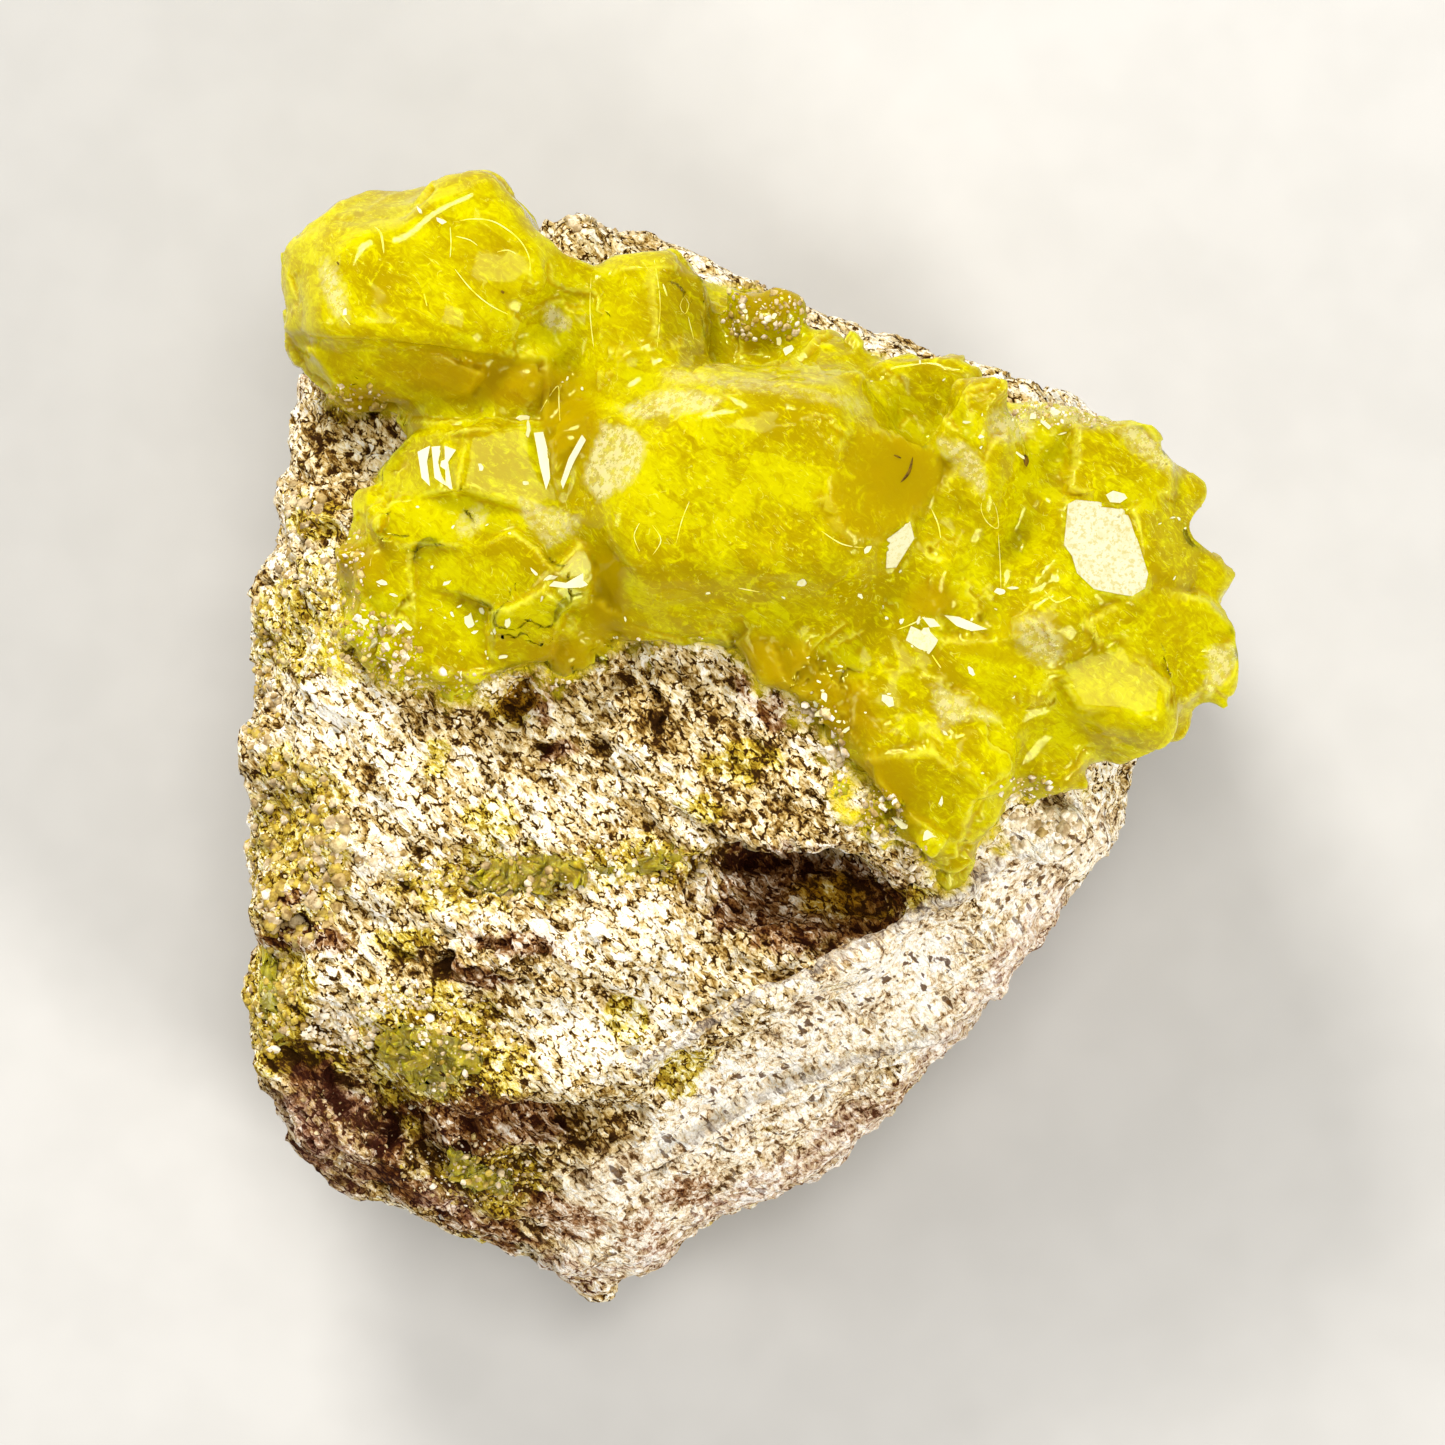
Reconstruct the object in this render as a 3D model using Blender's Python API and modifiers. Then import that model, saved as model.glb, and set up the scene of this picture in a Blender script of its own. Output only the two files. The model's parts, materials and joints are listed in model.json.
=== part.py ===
"""A cluster of yellow sulfur crystals on a broken lump of pale volcanic rock.

The specimen lies on its back. +Z points up, out of the face that the crystals grow on,
and +Y runs from the pointed end of the rock to its broad end. The origin is on the
resting plane, under the middle of the specimen. All sizes below are in millimetres.
"""
import math
import random

import bmesh
import bpy
from mathutils import Euler, Matrix, Vector, noise
from mathutils.bvhtree import BVHTree

MM = 0.001
MERGE_DISTANCE = 0.00001

# Heights that the rock's block is drawn between, before it is broken and cut flat at zero
ROCK_LOW = -1.5
ROCK_HIGH = 27.0

# How far the rock's lumps, chips and bedding ledges stand out, and how wide each is
LUMP_HEIGHT = 0.55
LUMP_WIDTH = 7.0
CHIP_HEIGHT = 0.40
CHIP_WIDTH = 2.6
CHIP_LEVEL = 1.1
LEDGE_HEIGHT = 0.22
LEDGE_WIDTH = 1.9
LEDGE_WAVE = 0.6
LEDGE_SHARPNESS = 3
BEDDING = (0.58, 0.70, 0.42)

# Spacing of the rock's skin, the gap between pieces, and the shortest edge of a crystal
SKIN_SPACING = 0.8
CONTACT_GAP = 0.3
SMALLEST_EDGE = 0.08

ROCK_TRIANGLES = 5200
CRYSTAL_TRIANGLES = 4600
CRUST_TRIANGLES = 900

# The rock seen from above, anticlockwise from its pointed end
ROCK_OUTLINE = [
    (-7.3, -29.0), (-2.1, -25.2), (5.4, -21.2), (11.7, -14.0), (18.6, -5.4), (19.5, -1.4),
    (22.0, 6.1), (20.5, 13.6), (16.0, 16.9), (7.4, 19.0), (-1.3, 23.2), (-8.8, 25.8),
    (-13.1, 23.4), (-20.2, 20.6), (-22.1, 17.5), (-22.8, 10.6), (-24.6, 4.6), (-25.0, -1.9),
    (-24.5, -8.4), (-24.6, -15.5), (-23.1, -21.0), (-20.4, -23.0), (-15.1, -24.7),
    (-10.6, -26.0),
]

# Broken faces of the rock: a point on the face, the compass direction that the face looks
# towards, and how far its normal leans over from straight up, both in degrees.
BROKEN_FACES = {
    "front": (-6.0, -6.0, 20.0, 225, 7),
    "right_foot": (-5.1, -16.4, 18.6, 299, 43),
    "point": (-7.2, -23.4, 13.5, 268, 48),
    "left_foot": (-17.0, -17.8, 16.2, 240, 40),
    "left_side": (-21.5, -5.0, 18.0, 180, 56),
    "upper_left": (-18.5, 14.0, 18.0, 150, 36),
    "top": (-3.0, 14.0, 21.0, 82, 38),
    "right_side": (14.0, 8.0, 20.0, 20, 42),
    "right_corner": (15.5, -3.0, 17.0, 328, 50),
    "back_left": (-24.0, 2.0, 9.0, 182, 128),
    "back_upper_left": (-20.0, 19.0, 8.0, 135, 130),
    "back_top": (-6.0, 24.5, 7.0, 92, 128),
    "back_upper_right": (19.0, 14.0, 8.0, 42, 132),
    "back_right": (20.5, 4.0, 8.0, 350, 128),
    "back_lower_right": (7.5, -18.5, 6.0, 309, 122),
    "back_point": (-7.4, -28.6, 5.5, 272, 140),
    "back_lower_left": (-20.5, -22.0, 6.5, 228, 134),
}

# Lumps and hollows: centre, half sizes, and turns about X, Y and Z in degrees
SHELF = dict(at=(2.1, -1.6, 18.7), half=(7.4, 4.6, 3.6), turn=(4, -3, -27))
LUMPS = {
    "lip": dict(at=(3.6, -11.8, 18.9), half=(9.6, 1.0, 1.3), turn=(0, 0, 29)),
    "second_ledge": dict(at=(5.6, -16.4, 14.0), half=(6.4, 0.9, 1.2), turn=(0, 0, 22)),
    "left_knob_top": dict(at=(-22.0, 11.6, 13.4), half=(1.7, 1.7, 2.2), turn=(0, 0, 20)),
    "left_knob_upper": dict(at=(-23.1, 6.6, 13.6), half=(1.9, 2.0, 2.6), turn=(0, 10, 0)),
    "left_knob_middle": dict(at=(-23.4, -1.6, 14.2), half=(2.0, 3.0, 2.8), turn=(0, 12, 0)),
    "left_knob_lower": dict(at=(-22.2, -8.6, 16.2), half=(2.6, 2.2, 2.2), turn=(0, 0, 30)),
    "foot_block": dict(at=(-19.0, -19.6, 13.0), half=(3.6, 2.4, 3.0), turn=(0, 20, -30)),
    "top_knob": dict(at=(-8.4, 23.9, 13.0), half=(2.3, 2.0, 3.0), turn=(0, 0, 0)),
    "right_nodule": dict(at=(15.0, -5.2, 17.6), half=(2.0, 1.6, 1.6), turn=(0, 0, 20)),
    "seam_shoulder": dict(at=(-9.0, -10.6, 19.6), half=(6.4, 2.2, 1.5), turn=(0, 0, -8)),
}
HOLLOWS = {
    "pocket": dict(at=(2.7, -8.0, 19.8), half=(5.4, 2.7, 5.0), turn=(28, 0, -14)),
    "ridge_trough": dict(at=(0.6, -10.9, 21.6), half=(11.0, 2.6, 2.6), turn=(0, 0, 29)),
    "crack": dict(at=(-12.6, -10.5, 19.2), half=(4.8, 0.7, 2.2), turn=(18, 0, -14)),
    "foot_recess": dict(at=(-7.2, -19.6, 17.6), half=(6.0, 1.5, 2.4), turn=(26, 0, -9)),
    "left_recess": dict(at=(-17.6, -19.2, 15.4), half=(4.6, 1.3, 2.2), turn=(20, 0, -38)),
    "under_crystal": dict(at=(-19.6, 14.8, 20.4), half=(3.4, 3.8, 3.6), turn=(0, 18, 20)),
    "seam_groove": dict(at=(-13.8, -6.6, 20.6), half=(6.4, 1.2, 1.6), turn=(0, 0, 6)),
}

# Sulfur is orthorhombic: lengths of its a, b and c axes over b
AXIS_RATIOS = (0.813, 1.0, 1.903)

# How far out each kind of small face lies, and how much every face may differ from crystal
# to crystal, as shares of the distance of the main pyramid's faces
BLUNT_PYRAMID = (1.04, 1.20)
SIDE_PINACOID = (0.84, 0.96)
FRONT_PINACOID = (0.82, 0.94)
GROWTH = (0.93, 1.05)

# Smaller crystals: centre, half width across b, heading and rise of the long c axis, roll
# about it, and the share of the full pyramid that is left below its flat end.
CRYSTALS = {
    "upper_left_foot": (-17.9, 18.2, 19.0, 3.2, 160, 10, 40, 0.60),
    "upper_left_end": (-11.4, 20.9, 21.6, 3.9, 60, 24, 10, 0.54),
    "upper_filler": (-8.2, 20.1, 20.8, 2.9, 95, 34, 0, 0.62),
    "crust_left": (1.0, 19.8, 19.0, 2.6, 35, 40, 0, 0.58),
    "centre_left": (-7.0, 12.6, 22.6, 3.4, 140, 35, 15, 0.56),
    "centre_foot": (-1.6, 6.6, 22.2, 3.7, 6, 10, 60, 0.66),
    "tall_right": (11.2, 12.0, 23.2, 4.1, 82, 30, 20, 0.68),
    "far_right_top": (17.0, 13.1, 19.8, 4.0, 12, 30, 30, 0.60),
    "edge_upper": (19.6, 11.2, 19.6, 2.9, 20, 10, 0, 0.60),
    "edge_middle": (21.2, 8.0, 19.4, 2.6, -15, 20, 40, 0.58),
    "edge_lower": (21.4, 4.2, 19.8, 3.5, -30, 22, 20, 0.56),
    "edge_foot": (19.6, 2.4, 19.0, 3.3, -50, 16, 10, 0.56),
    "right_lobe": (17.6, 2.6, 20.8, 4.9, -40, 34, 35, 0.54),
    "right_middle": (12.9, 4.6, 21.8, 4.9, 25, 44, 0, 0.56),
    "right_inner": (8.6, 6.6, 22.6, 3.9, 65, 36, 30, 0.58),
    "tongue_top": (10.0, 0.6, 21.4, 4.7, -60, 34, 15, 0.58),
    "tongue_left": (6.6, -0.2, 20.8, 3.3, -40, 34, 0, 0.60),
    "tongue_middle": (9.3, -3.0, 20.4, 3.7, -75, 24, 30, 0.58),
    "tongue_end": (9.9, -5.2, 19.4, 2.5, -80, 14, 20, 0.58),
    "tongue_right": (13.8, 0.2, 20.0, 4.0, -50, 24, 40, 0.54),
    "left_top": (-13.2, 11.4, 21.6, 4.1, 70, 46, 10, 0.58),
    "left_middle": (-15.4, 8.4, 20.6, 3.5, 200, 34, 20, 0.58),
    "left_tip": (-10.6, 8.3, 22.4, 3.6, 2, 12, 30, 0.78),
    "left_foot": (-12.8, 5.6, 20.6, 3.2, -70, 36, 0, 0.60),
    "left_fringe": (-16.2, 4.8, 19.6, 2.5, 215, 26, 30, 0.62),
    "left_low": (-13.8, 3.6, 19.6, 2.0, -100, 30, 0, 0.62),
    "gap_upper": (-9.6, 5.2, 20.4, 2.7, -50, 30, 20, 0.60),
    "gap_lower": (-7.2, 6.0, 20.2, 2.3, -80, 26, 40, 0.62),
    "bridge_left": (-14.2, 15.8, 20.4, 3.2, -30, 20, 0, 0.58),
    "bridge_middle": (-10.8, 15.6, 20.8, 3.7, 80, 34, 30, 0.58),
    "bridge_right": (-6.8, 15.6, 21.4, 3.6, -20, 30, 10, 0.58),
    "ridge_left": (4.4, 16.6, 21.0, 3.5, -10, 24, 0, 0.60),
    "ridge_middle": (8.4, 16.0, 20.8, 3.5, 30, 28, 40, 0.58),
    "ridge_end": (12.9, 14.2, 20.4, 3.3, 15, 22, 30, 0.58),
    "lower_middle": (3.0, 4.8, 21.0, 3.6, -30, 30, 20, 0.58),
    "lower_right": (6.2, 3.0, 21.2, 3.4, -50, 34, 40, 0.58),
}

# Large crystals: centre, then each face as the heading and lean of its normal and its
# distance from the centre
LARGE_CRYSTALS = {
    "centre": ((-0.2, 11.2, 22.8), [
        (264, 10, 5.0), (92, 38, 7.0), (88, 72, 6.7), (270, 50, 5.3), (164, 47, 7.1),
        (124, 46, 6.8), (347, 42, 7.6), (24, 58, 8.0), (310, 56, 7.3), (216, 58, 7.3),
        (182, 84, 9.0), (2, 84, 9.7), (142, 80, 8.3), (38, 80, 8.3), (320, 80, 8.3),
        (222, 80, 8.3), (90, 95, 6.4), (270, 95, 6.7), (0, 140, 8.0), (180, 140, 8.0)]),
    "upper_left": ((-16.4, 20.8, 20.0), [
        (96, 14, 5.0), (266, 50, 4.7), (92, 66, 5.0), (150, 52, 5.5), (182, 66, 5.8),
        (214, 62, 5.6), (20, 54, 5.8), (318, 62, 5.9), (2, 88, 6.6), (44, 84, 6.4),
        (124, 86, 5.9), (180, 96, 6.1), (228, 92, 5.8), (270, 98, 4.9), (90, 130, 5.4),
        (180, 132, 6.0), (270, 132, 5.4), (0, 132, 6.4)]),
    "upper_left_knob": ((-12.5, 23.9, 21.0), [
        (90, 10, 3.4), (45, 50, 3.3), (110, 55, 3.7), (270, 50, 4.2), (200, 60, 4.4),
        (100, 88, 3.5), (66, 86, 3.1), (44, 88, 2.6), (20, 88, 2.5), (140, 88, 3.7),
        (180, 90, 5.0), (270, 90, 5.4), (330, 88, 4.0), (90, 140, 3.8), (270, 140, 4.2)]),
    "upper_prism": ((-4.7, 19.8, 20.6), [
        (90, 12, 3.5), (176, 52, 3.4), (2, 50, 3.5), (92, 54, 3.9), (134, 62, 3.7),
        (46, 62, 3.7), (180, 92, 3.0), (0, 92, 3.1), (90, 94, 3.6), (270, 90, 3.6),
        (140, 88, 3.7), (40, 88, 3.7), (90, 140, 4.0), (270, 150, 4.0)]),
    "flat_faced": ((17.4, 8.5, 20.4), [
        (60, 8, 4.3), (98, 45, 4.4), (17, 45, 4.15), (336, 45, 4.7), (253, 45, 4.35),
        (229, 45, 4.2), (174, 45, 4.45), (90, 78, 4.7), (30, 80, 4.3), (330, 80, 4.6),
        (265, 80, 4.5), (205, 80, 4.3), (150, 80, 4.6), (60, 130, 4.6), (240, 130, 4.6)]),
}
LARGE_BLANK = 40.0
FIRST_CRYSTAL = "centre"

# The sheet of grown sulfur that the crystals stand on, seen from above, and how thick it is
CRUST_OUTLINE = [
    (-16.8, 16.3), (-14.8, 15.1), (-15.6, 13.7), (-17.9, 12.4), (-17.9, 9.2), (-19.2, 7.0),
    (-19.2, 4.5), (-17.5, 2.6), (-15.3, 2.5), (-11.9, 2.9), (-8.9, 3.6), (-6.6, 4.0),
    (-5.9, 5.9), (-1.8, 4.9), (1.1, 2.4), (3.4, 1.0), (4.6, -1.0), (6.4, -2.5), (8.0, -4.6),
    (9.4, -6.9), (10.7, -6.2), (12.6, -4.6), (12.7, -3.1), (15.4, -1.6), (18.8, -0.7),
    (21.5, 0.8), (23.2, 4.0), (22.3, 6.5), (22.0, 10.4), (20.5, 13.0), (17.1, 15.7),
    (13.2, 15.7), (10.7, 17.4), (7.3, 18.2), (2.9, 19.0), (1.9, 21.5), (-2.1, 22.6),
    (-7.0, 22.3), (-10.4, 23.1), (-13.4, 25.0), (-16.8, 24.6), (-19.0, 23.6), (-19.8, 19.7),
    (-19.5, 17.7),
]
CRUST_LOW = 12.0
CRUST_HIGH = 27.0
CRUST_THICKNESS = 2.3
CRUST_WANDER = 0.8
CRUST_WANDER_WIDTH = 2.4

# Veins and patches of sulfur in the open rock: place, half length, half width, heading
SEAMS = {
    "sulfur_vein_middle": (-11.8, -7.2, 4.4, 1.3, 4),
    "sulfur_vein_right": (-4.4, -6.4, 3.2, 1.0, 10),
    "sulfur_patch_left_edge": (-23.2, -13.6, 1.3, 3.0, 0),
    "sulfur_patch_lower": (-15.0, -16.6, 3.6, 2.4, -24),
    "sulfur_patch_foot": (-12.6, -22.0, 2.6, 1.5, -18),
}
SEAM_THICKNESS = 1.1
SEAM_SINK = 0.35
SEAM_LUMPINESS = 0.22


def clear_scene():
    for obj in list(bpy.data.objects):
        bpy.data.objects.remove(obj, do_unlink=True)


def new_collection(name, hidden=False):
    made = bpy.data.collections.new(name)
    bpy.context.scene.collection.children.link(made)
    made.hide_render = hidden
    return made


def surface(name, colour, roughness, transmission=0.0):
    material = bpy.data.materials.new(name)
    material.use_nodes = True
    shader = material.node_tree.nodes["Principled BSDF"]
    shader.inputs["Base Color"].default_value = (*colour, 1.0)
    shader.inputs["Roughness"].default_value = roughness
    shader.inputs["Metallic"].default_value = 0.0
    shader.inputs["Transmission Weight"].default_value = transmission
    return material


def direction(heading, lean):
    """The unit vector that leans this far over from +Z towards a heading, in degrees."""
    turn, tip = math.radians(heading), math.radians(lean)
    return Vector((math.sin(tip) * math.cos(turn), math.sin(tip) * math.sin(turn), math.cos(tip)))


def slice_off(bm, point, normal):
    """Cuts away what lies beyond a plane and closes the cut."""
    everything = bm.verts[:] + bm.edges[:] + bm.faces[:]
    cut = bmesh.ops.bisect_plane(
        bm, geom=everything, plane_co=point, plane_no=normal, clear_outer=True, dist=1e-7
    )["geom_cut"]
    edges = [item for item in cut if isinstance(item, bmesh.types.BMEdge)]
    if edges:
        bmesh.ops.holes_fill(bm, edges=edges, sides=0)


def mesh_object(name, bm, collection, material=None):
    bmesh.ops.recalc_face_normals(bm, faces=bm.faces)
    mesh = bpy.data.meshes.new(name)
    bm.to_mesh(mesh)
    bm.free()
    obj = bpy.data.objects.new(name, mesh)
    collection.objects.link(obj)
    if material is not None:
        mesh.materials.append(material)
    return obj


def bake_modifiers(obj):
    """Replaces the mesh by what its modifiers make of it."""
    bpy.context.view_layer.update()
    graph = bpy.context.evaluated_depsgraph_get()
    made = bpy.data.meshes.new_from_object(obj.evaluated_get(graph), depsgraph=graph)
    obj.modifiers.clear()
    obj.data = made


def remesh(obj):
    """Gives the body a fresh even skin with no folds in it."""
    grid = obj.modifiers.new("grid", "REMESH")
    grid.mode = "VOXEL"
    grid.voxel_size = SKIN_SPACING * MM
    bake_modifiers(obj)


def thin_out(obj, triangles):
    """Merges triangles, the flattest first, until this many are left."""
    obj.data.calc_loop_triangles()
    fewer = obj.modifiers.new("fewer", "DECIMATE")
    fewer.ratio = min(1.0, triangles / len(obj.data.loop_triangles))
    bake_modifiers(obj)


def combine(obj, other, operation, solver="EXACT"):
    cut = obj.modifiers.new(operation.lower(), "BOOLEAN")
    cut.operation = operation
    cut.object = other
    cut.solver = solver
    bake_modifiers(obj)


def turned_and_sized(at, half, turn):
    """The place of a form two units across that gets this centre, half size and turn."""
    place = Matrix.Translation(Vector(at) * MM)
    turned = Euler([math.radians(angle) for angle in turn]).to_matrix().to_4x4()
    size = Matrix.Diagonal((*(Vector(half) * MM), 1.0))
    return place @ turned @ size


def lump(name, at, half, turn, collection):
    """A rounded blob for raising or hollowing the rock."""
    bm = bmesh.new()
    bmesh.ops.create_icosphere(bm, subdivisions=3, radius=1.0)
    bmesh.ops.transform(bm, matrix=turned_and_sized(at, half, turn), verts=bm.verts)
    return mesh_object(name, bm, collection)


def slab(name, at, half, turn, collection):
    """A flat-sided block for raising the rock."""
    bm = bmesh.new()
    bmesh.ops.create_cube(bm, size=2.0)
    bmesh.ops.transform(bm, matrix=turned_and_sized(at, half, turn), verts=bm.verts)
    return mesh_object(name, bm, collection)


def drawn_block(name, outline, low, high):
    """An outline seen from above, drawn up from one height to another."""
    curve = bpy.data.curves.new(name, "CURVE")
    curve.dimensions = "2D"
    curve.fill_mode = "BOTH"
    curve.extrude = (high - low) / 2 * MM
    line = curve.splines.new("POLY")
    line.points.add(len(outline) - 1)
    for point, (x, y) in zip(line.points, outline):
        point.co = (x * MM, y * MM, 0.0, 1.0)
    line.use_cyclic_u = True
    drawn = bpy.data.objects.new(name, curve)
    bpy.context.scene.collection.objects.link(drawn)
    bpy.context.view_layer.update()
    graph = bpy.context.evaluated_depsgraph_get()
    block = bpy.data.meshes.new_from_object(drawn.evaluated_get(graph), depsgraph=graph)
    bpy.data.objects.remove(drawn)
    bm = bmesh.new()
    bm.from_mesh(block)
    bmesh.ops.translate(bm, verts=bm.verts, vec=(0, 0, (low + high) / 2 * MM))
    bmesh.ops.remove_doubles(bm, verts=bm.verts, dist=MERGE_DISTANCE)
    bmesh.ops.recalc_face_normals(bm, faces=bm.faces)
    return bm


def rock_blank(collection):
    """The rock's outline drawn up into a block, then broken along its faces."""
    bm = drawn_block("rock_outline", ROCK_OUTLINE, ROCK_LOW, ROCK_HIGH)
    for x, y, z, heading, lean in BROKEN_FACES.values():
        slice_off(bm, Vector((x, y, z)) * MM, direction(heading, lean))
    bmesh.ops.triangulate(bm, faces=bm.faces)
    return mesh_object("matrix", bm, collection)


def roughen(mesh):
    """Breaks the rock's faces into lumps, chips and fine ledges along its bedding."""
    bedding = Vector(BEDDING).normalized()
    moves = []
    for vertex in mesh.vertices:
        place = vertex.co / MM
        lumps = noise.fractal(place / LUMP_WIDTH, 1.0, 2.0, 3)
        chips = noise.ridged_multi_fractal(place / CHIP_WIDTH, 1.0, 2.0, 3, 1.0, 2.0)
        bed = place.dot(bedding) / LEDGE_WIDTH + LEDGE_WAVE * noise.noise(place / LUMP_WIDTH)
        ledge = (bed % 1.0) ** LEDGE_SHARPNESS
        height = LUMP_HEIGHT * lumps + CHIP_HEIGHT * (chips - CHIP_LEVEL) - LEDGE_HEIGHT * ledge
        moves.append(vertex.normal * height * MM)
    for vertex, move in zip(mesh.vertices, moves):
        vertex.co += move


def build_matrix(parts, cutters, material):
    """The lump of rock, cut off flat where it rests."""
    rock = rock_blank(parts)
    combine(rock, slab("shelf", collection=cutters, **SHELF), "UNION")
    for name, size in LUMPS.items():
        combine(rock, lump(name, collection=cutters, **size), "UNION")
    for name, size in HOLLOWS.items():
        combine(rock, lump(name, collection=cutters, **size), "DIFFERENCE")

    remesh(rock)
    soften = rock.modifiers.new("soften", "SMOOTH")
    soften.factor = 0.5
    soften.iterations = 1
    bake_modifiers(rock)
    roughen(rock.data)
    thin_out(rock, ROCK_TRIANGLES)

    bm = bmesh.new()
    bm.from_mesh(rock.data)
    slice_off(bm, Vector((0, 0, 0)), Vector((0, 0, -1)))
    bmesh.ops.triangulate(bm, faces=bm.faces)
    bm.to_mesh(rock.data)
    bm.free()
    rock.data.materials.clear()
    rock.data.materials.append(material)
    return rock


def drop_crumbs(obj):
    """Keeps the largest body and leaves out the splinters that a cut breaks off."""
    bm = bmesh.new()
    bm.from_mesh(obj.data)
    bodies, seen = [], set()
    for start in bm.verts:
        if start in seen:
            continue
        seen.add(start)
        body, edge = [], [start]
        while edge:
            vertex = edge.pop()
            body.append(vertex)
            for link in vertex.link_edges:
                other = link.other_vert(vertex)
                if other not in seen:
                    seen.add(other)
                    edge.append(other)
        bodies.append(body)
    bodies.sort(key=len)
    for body in bodies[:-1]:
        bmesh.ops.delete(bm, geom=body, context="VERTS")
    bm.to_mesh(obj.data)
    bm.free()


def grown_rock(rock, collection):
    """The rock with a skin as thick as the gap that every other piece keeps to it."""
    bm = bmesh.new()
    bm.from_mesh(rock.data)
    bm.normal_update()
    for vertex in bm.verts:
        vertex.co += vertex.normal * CONTACT_GAP * MM * vertex.calc_shell_factor()
    return mesh_object("grown_rock", bm, collection)


def crystal_planes(cap, rng):
    """The faces of one crystal, each as a normal over the axes and its distance."""
    planes = []
    for x in (1, -1):
        for y in (1, -1):
            for z in (1, -1):
                planes.append(((x, y, z), 1.0))
                planes.append(((x, y, 3 * z), 3 * cap * rng.uniform(*BLUNT_PYRAMID)))
    for z in (1, -1):
        planes.append(((0, 0, z), cap))
    for y in (1, -1):
        planes.append(((0, y, 0), rng.uniform(*SIDE_PINACOID)))
    for x in (1, -1):
        planes.append(((x, 0, 0), rng.uniform(*FRONT_PINACOID)))
    return [(normal, distance * rng.uniform(*GROWTH)) for normal, distance in planes]


def close_up(bm):
    """Merges corners that all but touch, so that no face of a crystal is a splinter."""
    bmesh.ops.remove_doubles(bm, verts=bm.verts, dist=SMALLEST_EDGE * MM)
    bmesh.ops.triangulate(bm, faces=bm.faces)


def large_crystal(name, centre, faces, collection):
    """One large crystal, sliced from a cube along its own faces."""
    bm = bmesh.new()
    bmesh.ops.create_cube(bm, size=LARGE_BLANK * MM)
    for heading, lean, distance in faces:
        normal = direction(heading, lean)
        slice_off(bm, normal * distance * MM, normal)
    bmesh.ops.translate(bm, verts=bm.verts, vec=Vector(centre) * MM)
    close_up(bm)
    return mesh_object(name, bm, collection)


def crystal(name, x, y, z, half_width, heading, rise, roll, cap, collection):
    """One crystal, sliced from a cube along the faces that sulfur grows."""
    rng = random.Random(name)
    axes = Vector(AXIS_RATIOS) * half_width * MM
    bm = bmesh.new()
    bmesh.ops.create_cube(bm, size=4 * half_width * MM)
    for normal, distance in crystal_planes(cap, rng):
        slope = Vector(n / a for n, a in zip(normal, axes))
        slice_off(bm, slope * distance / slope.length_squared, slope)
    long_axis = direction(heading, 90 - rise)
    turned = long_axis.to_track_quat("Z", "X").to_matrix().to_4x4()
    rolled = Matrix.Rotation(math.radians(roll), 4, "Z")
    place = Matrix.Translation(Vector((x, y, z)) * MM)
    bmesh.ops.transform(bm, matrix=place @ turned @ rolled, verts=bm.verts)
    close_up(bm)
    return mesh_object(name, bm, collection)


def crust(rock, collection):
    """The rock's own surface grown outwards, kept only inside the crust's outline."""
    sheet = rock.copy()
    sheet.data = rock.data.copy()
    sheet.name = "crust"
    collection.objects.link(sheet)
    swell = sheet.modifiers.new("swell", "DISPLACE")
    swell.strength = CRUST_THICKNESS * MM
    swell.mid_level = 0.0
    bake_modifiers(sheet)
    remesh(sheet)
    bm = drawn_block("crust_outline", CRUST_OUTLINE, CRUST_LOW, CRUST_HIGH)
    bmesh.ops.triangulate(bm, faces=bm.faces)
    inside = mesh_object("crust_outline", bm, collection)
    combine(sheet, inside, "INTERSECT")
    remesh(sheet)
    for vertex in sheet.data.vertices:
        wander = noise.noise_vector(vertex.co / (CRUST_WANDER_WIDTH * MM))
        vertex.co += wander * CRUST_WANDER * MM
    remesh(sheet)
    thin_out(sheet, CRUST_TRIANGLES)
    return sheet


def build_crystals(parts, cutters, rock, grown, material):
    """All the crystals grown together as one solid, seated on the rock."""
    made = {name: crystal(name, *size, cutters) for name, size in CRYSTALS.items()}
    for name, (centre, faces) in LARGE_CRYSTALS.items():
        made[name] = large_crystal(name, centre, faces, cutters)
    made["crust"] = crust(rock, cutters)
    mass = made.pop(FIRST_CRYSTAL)
    cutters.objects.unlink(mass)
    parts.objects.link(mass)
    mass.name = "sulfur_crystals"
    for other in made.values():
        combine(mass, other, "UNION", "MANIFOLD")
    combine(mass, grown, "DIFFERENCE", "MANIFOLD")
    drop_crumbs(mass)
    thin_out(mass, CRYSTAL_TRIANGLES)
    mass.data.materials.clear()
    mass.data.materials.append(material)
    return mass


def build_seams(parts, rock, grown, material):
    """Low patches of sulfur where veins come out of the rock."""
    bm = bmesh.new()
    bm.from_mesh(rock.data)
    tree = BVHTree.FromBMesh(bm)
    bm.free()
    down = Vector((0, 0, -1))
    for name, (x, y, half_length, half_width, heading) in SEAMS.items():
        spot, normal, _, _ = tree.ray_cast(Vector((x, y, ROCK_HIGH)) * MM, down)
        blob = bmesh.new()
        bmesh.ops.create_icosphere(blob, subdivisions=2, radius=1.0)
        for vertex in blob.verts:
            lumpiness = noise.noise(vertex.co * 2.0 + Vector((x, y, 0.0)))
            vertex.co *= 1.0 + SEAM_LUMPINESS * lumpiness
        size = Matrix.Diagonal((half_length * MM, half_width * MM, SEAM_THICKNESS * MM, 1.0))
        turned = Matrix.Rotation(math.radians(heading), 4, "Z")
        tilt = Vector((0, 0, 1)).rotation_difference(normal).to_matrix().to_4x4()
        place = Matrix.Translation(spot - normal * SEAM_SINK * MM)
        bmesh.ops.transform(blob, matrix=place @ tilt @ turned @ size, verts=blob.verts)
        seam = mesh_object(name, blob, parts, material)
        combine(seam, grown, "DIFFERENCE")
        drop_crumbs(seam)


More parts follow.
